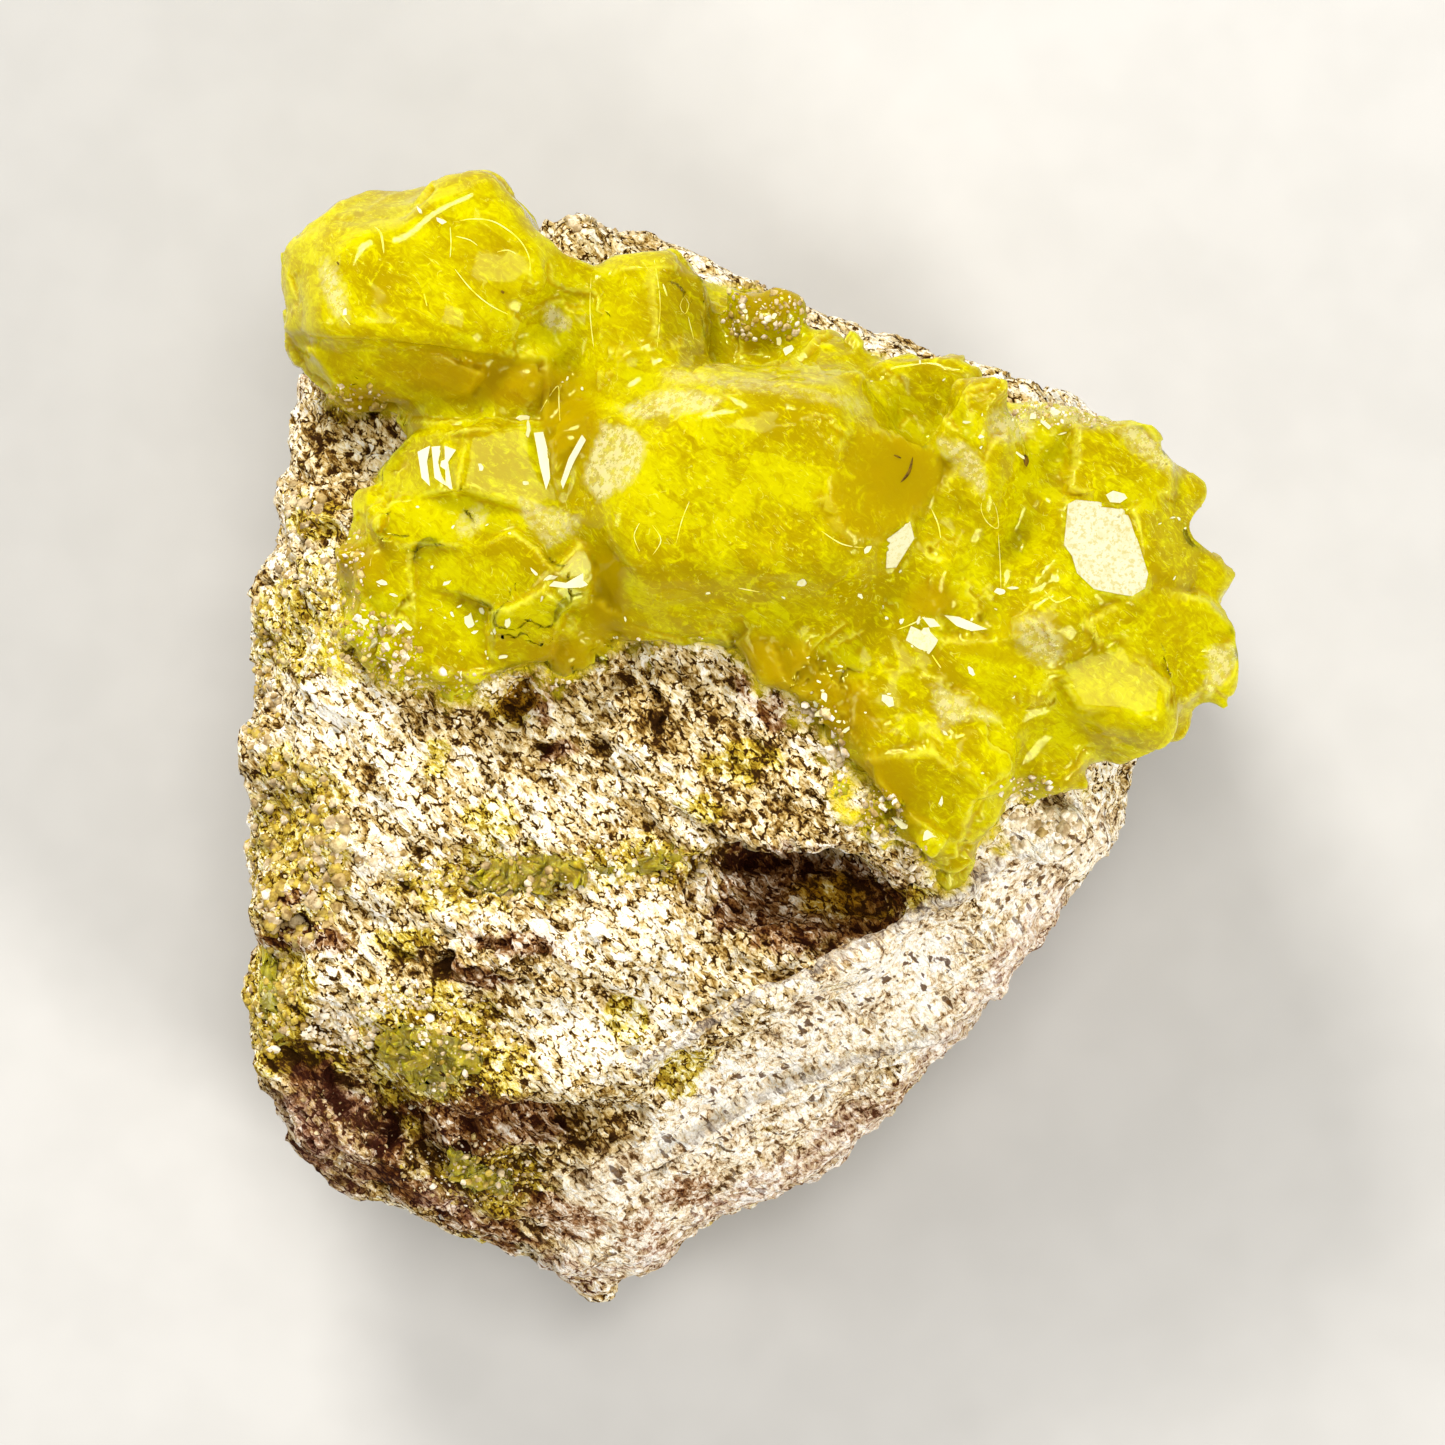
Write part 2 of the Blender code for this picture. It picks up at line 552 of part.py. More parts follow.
def centre_on_origin(collection):
    """Moves the finished pieces so that the origin is under the middle of the specimen."""
    corners = [vertex.co for obj in collection.objects for vertex in obj.data.vertices]
    middle_x = (min(co.x for co in corners) + max(co.x for co in corners)) / 2
    middle_y = (min(co.y for co in corners) + max(co.y for co in corners)) / 2
    for obj in collection.objects:
        obj.data.transform(Matrix.Translation((-middle_x, -middle_y, 0)))


def main():
    clear_scene()
    parts = new_collection("sulfur_specimen")
    cutters = new_collection("cutters", hidden=True)
    pale_rock = surface("pale_rock", (0.62, 0.54, 0.42), 0.9)
    sulfur = surface("sulfur", (0.85, 0.78, 0.03), 0.15, transmission=0.6)

    rock = build_matrix(parts, cutters, pale_rock)
    grown = grown_rock(rock, cutters)
    build_crystals(parts, cutters, rock, grown, sulfur)
    build_seams(parts, rock, grown, sulfur)
    centre_on_origin(parts)
    for helper in cutters.objects:
        helper.hide_render = True
        helper.display_type = "WIRE"


main()
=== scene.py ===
"""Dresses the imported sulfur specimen: glassy yellow crystals on a granular pale rock.

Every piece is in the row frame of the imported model. Lengths in the tables below are in
millimetres, and places on the surface are given as seen from the camera, in pixels of a
frame that is 1445 pixels wide, and dropped along the line of sight onto the surface.
"""

import json
import math
import random

import bpy
import numpy as np
from mathutils import Matrix, Vector, noise
from mathutils.bvhtree import BVHTree

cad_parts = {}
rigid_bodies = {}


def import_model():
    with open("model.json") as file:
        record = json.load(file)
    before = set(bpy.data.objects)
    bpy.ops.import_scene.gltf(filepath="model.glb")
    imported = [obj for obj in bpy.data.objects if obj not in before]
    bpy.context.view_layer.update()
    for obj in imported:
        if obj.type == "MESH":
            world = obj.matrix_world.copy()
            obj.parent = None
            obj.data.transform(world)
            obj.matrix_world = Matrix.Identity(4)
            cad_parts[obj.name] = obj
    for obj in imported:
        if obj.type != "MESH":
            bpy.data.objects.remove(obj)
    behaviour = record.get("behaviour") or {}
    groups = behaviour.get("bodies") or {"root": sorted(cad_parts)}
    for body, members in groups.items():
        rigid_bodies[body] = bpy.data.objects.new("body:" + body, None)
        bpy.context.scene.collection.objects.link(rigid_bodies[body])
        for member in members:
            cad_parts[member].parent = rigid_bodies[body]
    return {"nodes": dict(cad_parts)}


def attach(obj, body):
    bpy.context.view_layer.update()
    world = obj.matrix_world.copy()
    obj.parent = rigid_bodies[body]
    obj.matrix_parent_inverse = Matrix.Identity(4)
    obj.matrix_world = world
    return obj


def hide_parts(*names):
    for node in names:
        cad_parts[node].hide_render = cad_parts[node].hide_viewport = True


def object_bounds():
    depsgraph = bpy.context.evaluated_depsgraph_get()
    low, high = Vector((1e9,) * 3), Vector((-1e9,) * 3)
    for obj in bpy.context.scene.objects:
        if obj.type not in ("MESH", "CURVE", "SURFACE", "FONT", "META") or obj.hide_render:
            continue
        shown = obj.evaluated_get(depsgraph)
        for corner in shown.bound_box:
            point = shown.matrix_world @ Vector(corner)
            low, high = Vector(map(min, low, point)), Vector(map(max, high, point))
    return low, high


MM = 0.001
# How far, in pixels, the edge of a painted polygon fades out, and that of a ground face
POLYGON_EDGE = 4.0
GROUND_EDGE = 7.0

# The camera looks straight down at the middle of the specimen
CAMERA = Vector((-0.65, 1.15, 412.0))
SIGHT_PLANE = 12.0
PIXEL = 0.05
FRAME_WIDTH = 1445
SENSOR = 36.0

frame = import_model()
CAD_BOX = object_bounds()


# Small tools


def deselect():
    for obj in bpy.context.view_layer.objects:
        obj.select_set(False)


def work_on(obj):
    deselect()
    bpy.context.view_layer.objects.active = obj
    obj.select_set(True)


def modify(obj, kind, **settings):
    """Adds a modifier and applies it."""
    work_on(obj)
    modifier = obj.modifiers.new(kind.lower(), kind)
    for name, value in settings.items():
        setattr(modifier, name, value)
    bpy.ops.object.modifier_apply(modifier=modifier.name)


def copy_of_node(node, name):
    """A merged copy of a CAD node's mesh, as a new object."""
    made = bpy.data.objects.new(name, frame["nodes"][node].data.copy())
    bpy.context.scene.collection.objects.link(made)
    made.data.materials.clear()
    work_on(made)
    bpy.ops.object.mode_set(mode="EDIT")
    bpy.ops.mesh.select_all(action="SELECT")
    bpy.ops.mesh.remove_doubles(threshold=0.00001)
    bpy.ops.object.mode_set(mode="OBJECT")
    return made


def join(name, objects):
    deselect()
    for obj in objects:
        obj.select_set(True)
    bpy.context.view_layer.objects.active = objects[0]
    bpy.ops.object.join()
    made = bpy.context.view_layer.objects.active
    made.name = name
    return made


def places_of(mesh):
    flat = np.empty(len(mesh.vertices) * 3, np.float32)
    mesh.vertices.foreach_get("co", flat)
    return flat.reshape(-1, 3) / MM


def normals_of(mesh):
    flat = np.empty(len(mesh.vertices) * 3, np.float32)
    mesh.vertex_normals.foreach_get("vector", flat)
    return flat.reshape(-1, 3)


def set_places(mesh, places):
    mesh.vertices.foreach_set("co", (np.asarray(places, np.float32) * MM).ravel())
    mesh.update()


def paint(mesh, name, red, green, blue):
    """Keeps three masks with the mesh as a colour attribute."""
    attribute = mesh.color_attributes.new(name, "FLOAT_COLOR", "POINT")
    colours = np.ones((len(mesh.vertices), 4), np.float32)
    colours[:, 0], colours[:, 1], colours[:, 2] = red, green, blue
    attribute.data.foreach_set("color", colours.ravel())


def tree_of(obj):
    mesh = obj.data
    mesh.calc_loop_triangles()
    corners = [vertex.co / MM for vertex in mesh.vertices]
    return BVHTree.FromPolygons(corners, [tri.vertices for tri in mesh.loop_triangles])


def pixels_of(places):
    """Where each place is seen from the camera."""
    shrink = (CAMERA.z - SIGHT_PLANE) / (CAMERA.z - places[:, 2])
    u = FRAME_WIDTH / 2 + (places[:, 0] - CAMERA.x) * shrink / PIXEL
    v = FRAME_WIDTH / 2 - (places[:, 1] - CAMERA.y) * shrink / PIXEL
    return u, v


def sight(u, v):
    """The direction from the camera through a pixel."""
    x = CAMERA.x + (u - FRAME_WIDTH / 2) * PIXEL
    y = CAMERA.y + (FRAME_WIDTH / 2 - v) * PIXEL
    return (Vector((x, y, SIGHT_PLANE)) - CAMERA).normalized()


def drop(tree, u, v):
    """The first place and normal on a surface that a pixel sees."""
    place, normal, _, _ = tree.ray_cast(CAMERA, sight(u, v))
    return place, normal


def smooth_step(low, high, value):
    share = np.clip((value - low) / (high - low), 0.0, 1.0)
    return share * share * (3.0 - 2.0 * share)


def spots(u, v, blobs):
    """How strongly each pixel lies in soft-edged ovals: middle, half sizes, turn."""
    mask = np.zeros(len(u))
    for x, y, half_x, half_y, turn in blobs:
        angle = math.radians(turn)
        along = (u - x) * math.cos(angle) - (v - y) * math.sin(angle)
        across = (u - x) * math.sin(angle) + (v - y) * math.cos(angle)
        far = np.sqrt((along / half_x) ** 2 + (across / half_y) ** 2)
        mask = np.maximum(mask, 1.0 - smooth_step(0.55, 1.25, far))
    return mask


def from_line(u, v, start, end):
    """How far each pixel is from the straight line between two points."""
    (x0, y0), (x1, y1) = start, end
    length = (x1 - x0) ** 2 + (y1 - y0) ** 2
    share = np.clip(((u - x0) * (x1 - x0) + (v - y0) * (y1 - y0)) / length, 0, 1)
    return np.hypot(u - x0 - share * (x1 - x0), v - y0 - share * (y1 - y0))


def lines(u, v, strokes):
    """How strongly each pixel lies on a drawn line: points, then half width."""
    mask = np.zeros(len(u))
    for points, half_width in strokes:
        for start, end in zip(points, points[1:]):
            far = from_line(u, v, start, end)
            mask = np.maximum(mask, 1.0 - smooth_step(half_width * 0.5, half_width * 1.4, far))
    return mask


def inside(u, v, outline):
    """Which pixels lie inside a polygon, and how far all of them are from its edge."""
    within = np.zeros(len(u), bool)
    far = np.full(len(u), 1e9)
    for (x0, y0), (x1, y1) in zip(outline, outline[1:] + outline[:1]):
        crosses = (y0 > v) != (y1 > v)
        at = x0 + (x1 - x0) * (v - y0) / (y1 - y0 if y1 != y0 else 1e-9)
        within ^= crosses & (u < at)
        far = np.minimum(far, from_line(u, v, (x0, y0), (x1, y1)))
    return within, far


def fade(within, far, edge):
    """Full inside a polygon, fading out over this far outside."""
    return np.where(within, 1.0, 1.0 - smooth_step(0.0, edge, far))


def in_polygons(u, v, shapes):
    """How strongly each pixel lies in polygons of different strengths."""
    mask = np.zeros(len(u))
    for strength, outline in shapes:
        mask = np.maximum(mask, strength * fade(*inside(u, v, outline), POLYGON_EDGE))
    return mask


def hashed(centres, turn):
    """A steady value from 0 to 1 for each cell of a pattern."""
    mixed = np.sin(centres @ np.array((12.99, 78.23, 37.72)) + turn * 4.13) * 4375.85
    return mixed - np.floor(mixed)


def faceted(places, size, slope, rise, sides=3):
    """The height of a field of small flat-sided crystals or chips, about this far apart."""
    centres = np.array([noise.voronoi(Vector(place))[1] for place in places / size])
    away = places[:, None, :] / size - centres
    falls = np.zeros(away.shape[:2])
    for side in range(sides):
        turn, lean = math.tau * hashed(centres, side), 2.0 * hashed(centres, side + 9) - 1.0
        flat = np.sqrt(1.0 - lean * lean)
        way = np.stack((flat * np.cos(turn), flat * np.sin(turn), lean), axis=2)
        reach = 0.10 + 0.25 * hashed(centres, side + 5)
        falls = np.maximum(falls, slope * ((way * away).sum(axis=2) - reach))
    return (rise * hashed(centres, 20) - falls).max(axis=1) * size


def keep_in_box(obj):
    low, high = np.array(CAD_BOX[0]) / MM, np.array(CAD_BOX[1]) / MM
    set_places(obj.data, np.clip(places_of(obj.data), low, high))


def finish_piece(obj, material, replaced=None):
    """Gives a piece its finish and its place in the frame."""
    obj.data.materials.clear()
    obj.data.materials.append(material)
    work_on(obj)
    bpy.ops.object.shade_smooth()
    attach(obj, "root")
    if replaced:
        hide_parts(replaced)


def sliced_crystal(seed, cap):
    """A small sulfur crystal one unit in half width, sliced from a cube along its faces."""
    rng = random.Random(seed)
    deselect()
    bpy.ops.mesh.primitive_cube_add(size=4.0)
    made = bpy.context.object
    bpy.ops.object.mode_set(mode="EDIT")
    faces = []
    for x in (1, -1):
        for y in (1, -1):
            for z in (1, -1):
                faces.append((Vector((x / 0.81, y, z / 1.9)), rng.uniform(0.9, 1.06)))
                faces.append((Vector((x / 0.81, y, 3 * z / 1.9)), 3 * cap * rng.uniform(1.0, 1.2)))
    faces += [(Vector((0, 0, z / 1.9)), cap * rng.uniform(0.9, 1.1)) for z in (1, -1)]
    for slope, distance in faces:
        bpy.ops.mesh.select_all(action="SELECT")
        bpy.ops.mesh.bisect(plane_co=slope * distance / slope.length_squared, plane_no=slope,
                            use_fill=True, clear_outer=True)
    bpy.ops.mesh.select_all(action="SELECT")
    bpy.ops.mesh.remove_doubles(threshold=0.05)
    bpy.ops.mesh.quads_convert_to_tris()
    bpy.ops.mesh.normals_make_consistent(inside=False)
    bpy.ops.object.mode_set(mode="OBJECT")
    return taken_apart(made)


def grain(seed, level=1):
    """A rounded grain one unit in radius, knocked out of round."""
    rng = random.Random(seed)
    deselect()
    bpy.ops.mesh.primitive_ico_sphere_add(subdivisions=level, radius=1.0)
    made = bpy.context.object
    for vertex in made.data.vertices:
        vertex.co *= rng.uniform(0.72, 1.12)
    return taken_apart(made)


def taken_apart(obj):
    """The corners and triangles of a pattern piece, which is then removed."""
    mesh = obj.data
    mesh.calc_loop_triangles()
    corners = np.array([vertex.co for vertex in mesh.vertices])
    triangles = np.array([tri.vertices for tri in mesh.loop_triangles])
    bpy.data.objects.remove(obj)
    return corners, triangles


def copies(name, patterns, poses):
    """One mesh of many copies: each pose is a pattern's number and a 4x4 matrix."""
    corners, triangles, first = [], [], 0
    for number, pose in poses:
        own, faces = patterns[number]
        turned = own @ np.array(pose.to_3x3()).T + np.array(pose.translation)
        corners.append(turned)
        triangles.append(faces + first)
        first += len(own)
    mesh = bpy.data.meshes.new(name)
    mesh.from_pydata((np.concatenate(corners) * MM).tolist(), [],
                     np.concatenate(triangles).tolist())
    made = bpy.data.objects.new(name, mesh)
    bpy.context.scene.collection.objects.link(made)
    return made


def pose_at(place, axis, roll, size):
    """A matrix that stands a pattern on a place with its long axis this way."""
    turned = axis.to_track_quat("Z", "X").to_matrix().to_4x4()
    rolled = Matrix.Rotation(roll, 4, "Z")
    return Matrix.Translation(place) @ turned @ rolled @ Matrix.Diagonal((*size, 1.0))


def scattered(rng, tree, ovals, keep_misses=False):
    """Seeded places and normals on what the camera sees inside ovals."""
    found = []
    for u, v, half_u, half_v, count in ovals:
        for _ in range(count):
            far, around = math.sqrt(rng.random()), rng.uniform(0, math.tau)
            place, normal = drop(tree, u + half_u * far * math.cos(around),
                                 v + half_v * far * math.sin(around))
            if place is not None:
                found.append((place, normal))
            elif keep_misses:
                found.append(None)
    return found


# Materials


def feed(tree, socket, value):
    """Links a socket to another one, or gives it a value of its own."""
    if isinstance(value, bpy.types.NodeSocket):
        tree.links.new(value, socket)
    else:
        socket.default_value = value


def node(tree, kind, inputs=None, **settings):
    made = tree.nodes.new(kind)
    for name, value in settings.items():
        setattr(made, name, value)
    for name, value in (inputs or {}).items():
        feed(tree, made.inputs[name], value)
    return made


def millimetres(tree, turn=0.0, scale=(1, 1, 1)):
    """The surface's own coordinates in millimetres, turned about Z, then stretched."""
    coordinates = node(tree, "ShaderNodeTexCoord").outputs["Object"]
    turned = node(tree, "ShaderNodeMapping", {
        "Vector": coordinates, "Rotation": (0.0, 0.0, math.radians(turn)),
    })
    return node(tree, "ShaderNodeMapping", {
        "Vector": turned.outputs["Vector"], "Scale": [1000.0 * size for size in scale],
    }).outputs["Vector"]


def cloud(tree, vector, scale, detail=3.0, roughness=0.55, distortion=0.0):
    return node(tree, "ShaderNodeTexNoise", {
        "Vector": vector, "Scale": scale, "Detail": detail,
        "Roughness": roughness, "Distortion": distortion,
    }).outputs[0]


def step(tree, value, low, high, bottom=0.0, top=1.0):
    return node(tree, "ShaderNodeMapRange", {
        "Value": value, "From Min": low, "From Max": high, "To Min": bottom, "To Max": top,
    }, interpolation_type="SMOOTHSTEP").outputs["Result"]


def calc(tree, operation, first, second):
    made = node(tree, "ShaderNodeMath", operation=operation)
    for socket, value in zip(made.inputs, (first, second)):
        feed(tree, socket, value)
    return made.outputs[0]


def plus(tree, *values):
    """The sum of several values."""
    total = values[0]
    for value in values[1:]:
        total = calc(tree, "ADD", total, value)
    return total


def times(tree, first, second):
    return calc(tree, "MULTIPLY", first, second)


def cells(tree, vector, scale, feature="F1"):
    """A random tone for each cell of a pattern, or the distance to the cell's edge."""
    made = node(tree, "ShaderNodeTexVoronoi", {"Vector": vector, "Scale": scale}, feature=feature)
    if feature == "DISTANCE_TO_EDGE":
        return made.outputs["Distance"]
    return node(tree, "ShaderNodeSeparateColor", {"Color": made.outputs["Color"]}).outputs[0]


def bent(tree, vector, scale, amount):
    """The same coordinates, pushed about by noise, so that a pattern has no straight edges."""
    push = node(tree, "ShaderNodeTexNoise", {"Vector": vector, "Scale": scale, "Detail": 2.0})
    moved = node(tree, "ShaderNodeVectorMath", {
        0: push.outputs["Color"], 1: (amount, amount, amount), 2: vector,
    }, operation="MULTIPLY_ADD")
    return moved.outputs["Vector"]


def mix(tree, factor, first, second):
    """Blends from one colour to another, each a colour of its own or a socket."""
    made = node(tree, "ShaderNodeMix", data_type="RGBA")
    feed(tree, made.inputs[0], factor)
    for socket, colour in zip((made.inputs[6], made.inputs[7]), (first, second)):
        feed(tree, socket, (*colour, 1.0) if isinstance(colour, tuple) else colour)
    return made.outputs[2]


def ramp(tree, value, colours, low=0.28, high=0.72):
    """Blends evenly spaced colours as a value goes from low to high."""
    made = node(tree, "ShaderNodeValToRGB", {"Fac": value})
    stops = made.color_ramp.elements
    while len(stops) < len(colours):
        stops.new(0.5)
    for index, colour in enumerate(colours):
        stops[index].position = low + (high - low) * index / (len(colours) - 1)
        stops[index].color = (*colour, 1.0)
    return made.outputs["Color"]


def masks(tree, name):
    colour = node(tree, "ShaderNodeAttribute", attribute_name=name).outputs["Color"]
    return node(tree, "ShaderNodeSeparateColor", {"Color": colour}).outputs


def bumps(tree, height, distance, strength=1.0):
    """A normal from a height, whose whole range is this many millimetres deep."""
    return node(tree, "ShaderNodeBump", {
        "Strength": strength, "Distance": distance * MM, "Height": height,
    }).outputs["Normal"]


def new_material(name):
    material = bpy.data.materials.new(name)
    material.use_nodes = True
    tree = material.node_tree
    return material, tree, tree.nodes["Principled BSDF"]


def set_inputs(tree, shader, **values):
    for name, value in values.items():
        feed(tree, shader.inputs[name.replace("_", " ")], value)


# Colours from the bottom of the crevices to the tops of the grains
PLAIN_ROCK = [(0.035, 0.012, 0.001), (0.19, 0.090, 0.010), (0.50, 0.335, 0.10),
              (0.76, 0.60, 0.32), (0.95, 0.85, 0.60), (0.99, 0.96, 0.88)]
YELLOW_ROCK = [(0.040, 0.016, 0.001), (0.17, 0.088, 0.002), (0.37, 0.235, 0.005),
               (0.58, 0.43, 0.02), (0.80, 0.68, 0.18), (0.97, 0.92, 0.70)]
RUSTY_ROCK = [(0.025, 0.004, 0.001), (0.085, 0.022, 0.004), (0.19, 0.070, 0.016),
              (0.36, 0.19, 0.08), (0.66, 0.49, 0.33), (0.92, 0.83, 0.70)]
SMOOTH_ROCK = [(0.06, 0.025, 0.006), (0.34, 0.21, 0.10), (0.64, 0.48, 0.30),
               (0.88, 0.75, 0.54), (0.97, 0.90, 0.75), (0.99, 0.96, 0.89)]
PINKISH_ROCK = [(0.07, 0.018, 0.008), (0.20, 0.085, 0.045), (0.38, 0.22, 0.15),
                (0.56, 0.39, 0.30), (0.74, 0.59, 0.50), (0.92, 0.84, 0.78)]
AMBER_ROCK = [(0.04, 0.014, 0.001), (0.15, 0.06, 0.002), (0.30, 0.14, 0.005),
              (0.42, 0.23, 0.015), (0.55, 0.36, 0.05), (0.80, 0.68, 0.35)]
LIP_ROCK = [(0.20, 0.15, 0.11), (0.33, 0.27, 0.21), (0.42, 0.36, 0.29),
            (0.51, 0.45, 0.38), (0.63, 0.57, 0.49), (0.80, 0.75, 0.67)]
# The deep, the common and the bright tone of the clear crystals and of the crusts
CLEAR_SULFUR = [(0.46, 0.345, 0.0), (0.70, 0.645, 0.0), (0.84, 0.81, 0.0)]
CRUSTED_SULFUR = [(0.24, 0.15, 0.001), (0.47, 0.35, 0.010), (0.66, 0.55, 0.04)]
BRIGHT_CRUST = [(0.36, 0.25, 0.002), (0.60, 0.48, 0.012), (0.80, 0.70, 0.06)]


def granular_rock():
    """Pale grains with dark gaps, stained and given painted light and shade by the masks of the
    rock's mesh.
    """
    material, tree, shader = new_material("granular_rock")
    stains_and_crystal_light, pits_smooth_face_and_shade = masks(tree, "stains_and_crystal_light"), masks(tree, "pits_smooth_face_and_shade")
    bloom, form = masks(tree, "bloom"), masks(tree, "form")
    plain = millimetres(tree)
    streaked = millimetres(tree, turn=48, scale=(0.50, 1.0, 1.0))
    bedded = millimetres(tree, turn=-31, scale=(0.10, 1.0, 1.0))
    slanted = millimetres(tree, turn=45, scale=(0.24, 1.0, 1.0))

    broad = cloud(tree, plain, 0.26, 3.0, 0.6)
    mottle = cloud(tree, plain, 0.9, 4.0, 0.70)
    specked = cloud(tree, streaked, 3.3, 3.0, 0.68, 0.6)
    crumbs = cloud(tree, plain, 2.6, 3.0, 0.68)
    fine = cloud(tree, plain, 9.0, 1.0, 0.6)
    streaks = cloud(tree, bedded, 3.4, 3.0, 0.6)
    flecks = cloud(tree, slanted, 2.3, 2.0, 0.5, 0.3)
    ragged_grains = bent(tree, streaked, 2.2, 0.45)
    grain_tone = cells(tree, ragged_grains, 2.7)
    gaps = cells(tree, ragged_grains, 2.7, "DISTANCE_TO_EDGE")

    crevice = times(tree, step(tree, gaps, 0.05, 0.13, 0.36, 0.0), step(tree, crumbs, 0.49, 0.55))
    crevice = times(tree, crevice, step(tree, pits_smooth_face_and_shade[1], 0.0, 1.0, 1.0, 0.45))
    level = plus(tree, specked, step(tree, broad, 0.3, 0.7, 0.0, 0.15), times(tree, pits_smooth_face_and_shade[1], 0.07),
                 step(tree, mottle, 0.3, 0.7, -0.05, 0.05),
                 # Lighter on the crests and darker in the hollows: painted light and painted shade
                 step(tree, form[0], 0.0, 1.0, -0.08, 0.08), times(tree, bloom[0], 0.07),
                 step(tree, grain_tone, 0.0, 1.0, -0.09, 0.09), times(tree, crevice, -1.0),
                 # Painted shade darkens the grains in the shaded ovals and in the broad lower
                 # ovals
                 times(tree, pits_smooth_face_and_shade[2], -0.08), times(tree, form[2], -0.04),
                 # Pits and cracks painted darker, partly painted shade
                 times(tree, pits_smooth_face_and_shade[0], -0.22))
    even = plus(tree, times(tree, level, 0.8), step(tree, streaks, 0.35, 0.65, 0.01, 0.15))
    base = ramp(tree, level, PLAIN_ROCK)
    base = mix(tree, times(tree, pits_smooth_face_and_shade[1], 0.85), base, ramp(tree, even, SMOOTH_ROCK))
    flecked = times(tree, step(tree, flecks, 0.60, 0.64, 0.0, 0.92), pits_smooth_face_and_shade[1])
    base = mix(tree, flecked, base, (0.10, 0.040, 0.008))

    for stained, full, colours in ((stains_and_crystal_light[0], 0.70, YELLOW_ROCK), (stains_and_crystal_light[1], 0.80, RUSTY_ROCK)):
        ragged = plus(tree, stained, step(tree, mottle, 0.3, 0.7, -0.50, 0.45))
        base = mix(tree, step(tree, ragged, 0.15, full, 0.0, 0.92), base,
                   ramp(tree, level, colours))
    base = mix(tree, bloom[1], base, ramp(tree, level, AMBER_ROCK))
    lip = times(tree, form[1], step(tree, crumbs, 0.36, 0.56, 0.25, 1.0))
    base = mix(tree, lip, base, ramp(tree, even, LIP_ROCK))
    pinkish = times(tree, bloom[2], step(tree, crumbs, 0.35, 0.65, 0.2, 0.8))
    base = mix(tree, pinkish, base, ramp(tree, even, PINKISH_ROCK))
    # Painted yellow light from the crystals, with sulfur, on the rock beneath them
    base = mix(tree, stains_and_crystal_light[2], base, (0.70, 0.56, 0.01))

    height = plus(tree, specked, times(tree, crumbs, 0.5), times(tree, fine, 0.12))
    set_inputs(tree, shader, Base_Color=base, IOR=1.5, Specular_IOR_Level=0.06,
               Roughness=step(tree, fine, 0.3, 0.7, 0.62, 0.95),
               Normal=bumps(tree, height, 0.45))
    return material


def grain_stone():
    """Loose-looking grains that are still part of the rock: white, tan and golden."""
    material, tree, shader = new_material("grain_stone")
    tint = masks(tree, "tint")
    plain = millimetres(tree)
    mottle = cloud(tree, plain, 2.4, 3.0, 0.6)
    share = step(tree, mottle, 0.35, 0.65)
    white = mix(tree, share, (0.55, 0.42, 0.24), (0.93, 0.86, 0.70))
    tan = mix(tree, share, (0.20, 0.11, 0.018), (0.50, 0.35, 0.11))
    gold = mix(tree, share, (0.28, 0.17, 0.004), (0.56, 0.41, 0.03))
    base = mix(tree, tint[1], mix(tree, tint[0], white, tan), gold)
    set_inputs(tree, shader, Base_Color=base, IOR=1.5, Specular_IOR_Level=0.25,
               Roughness=step(tree, mottle, 0.3, 0.7, 0.40, 0.75),
               Normal=bumps(tree, cloud(tree, plain, 8.0, 2.0), 0.08))
    return material


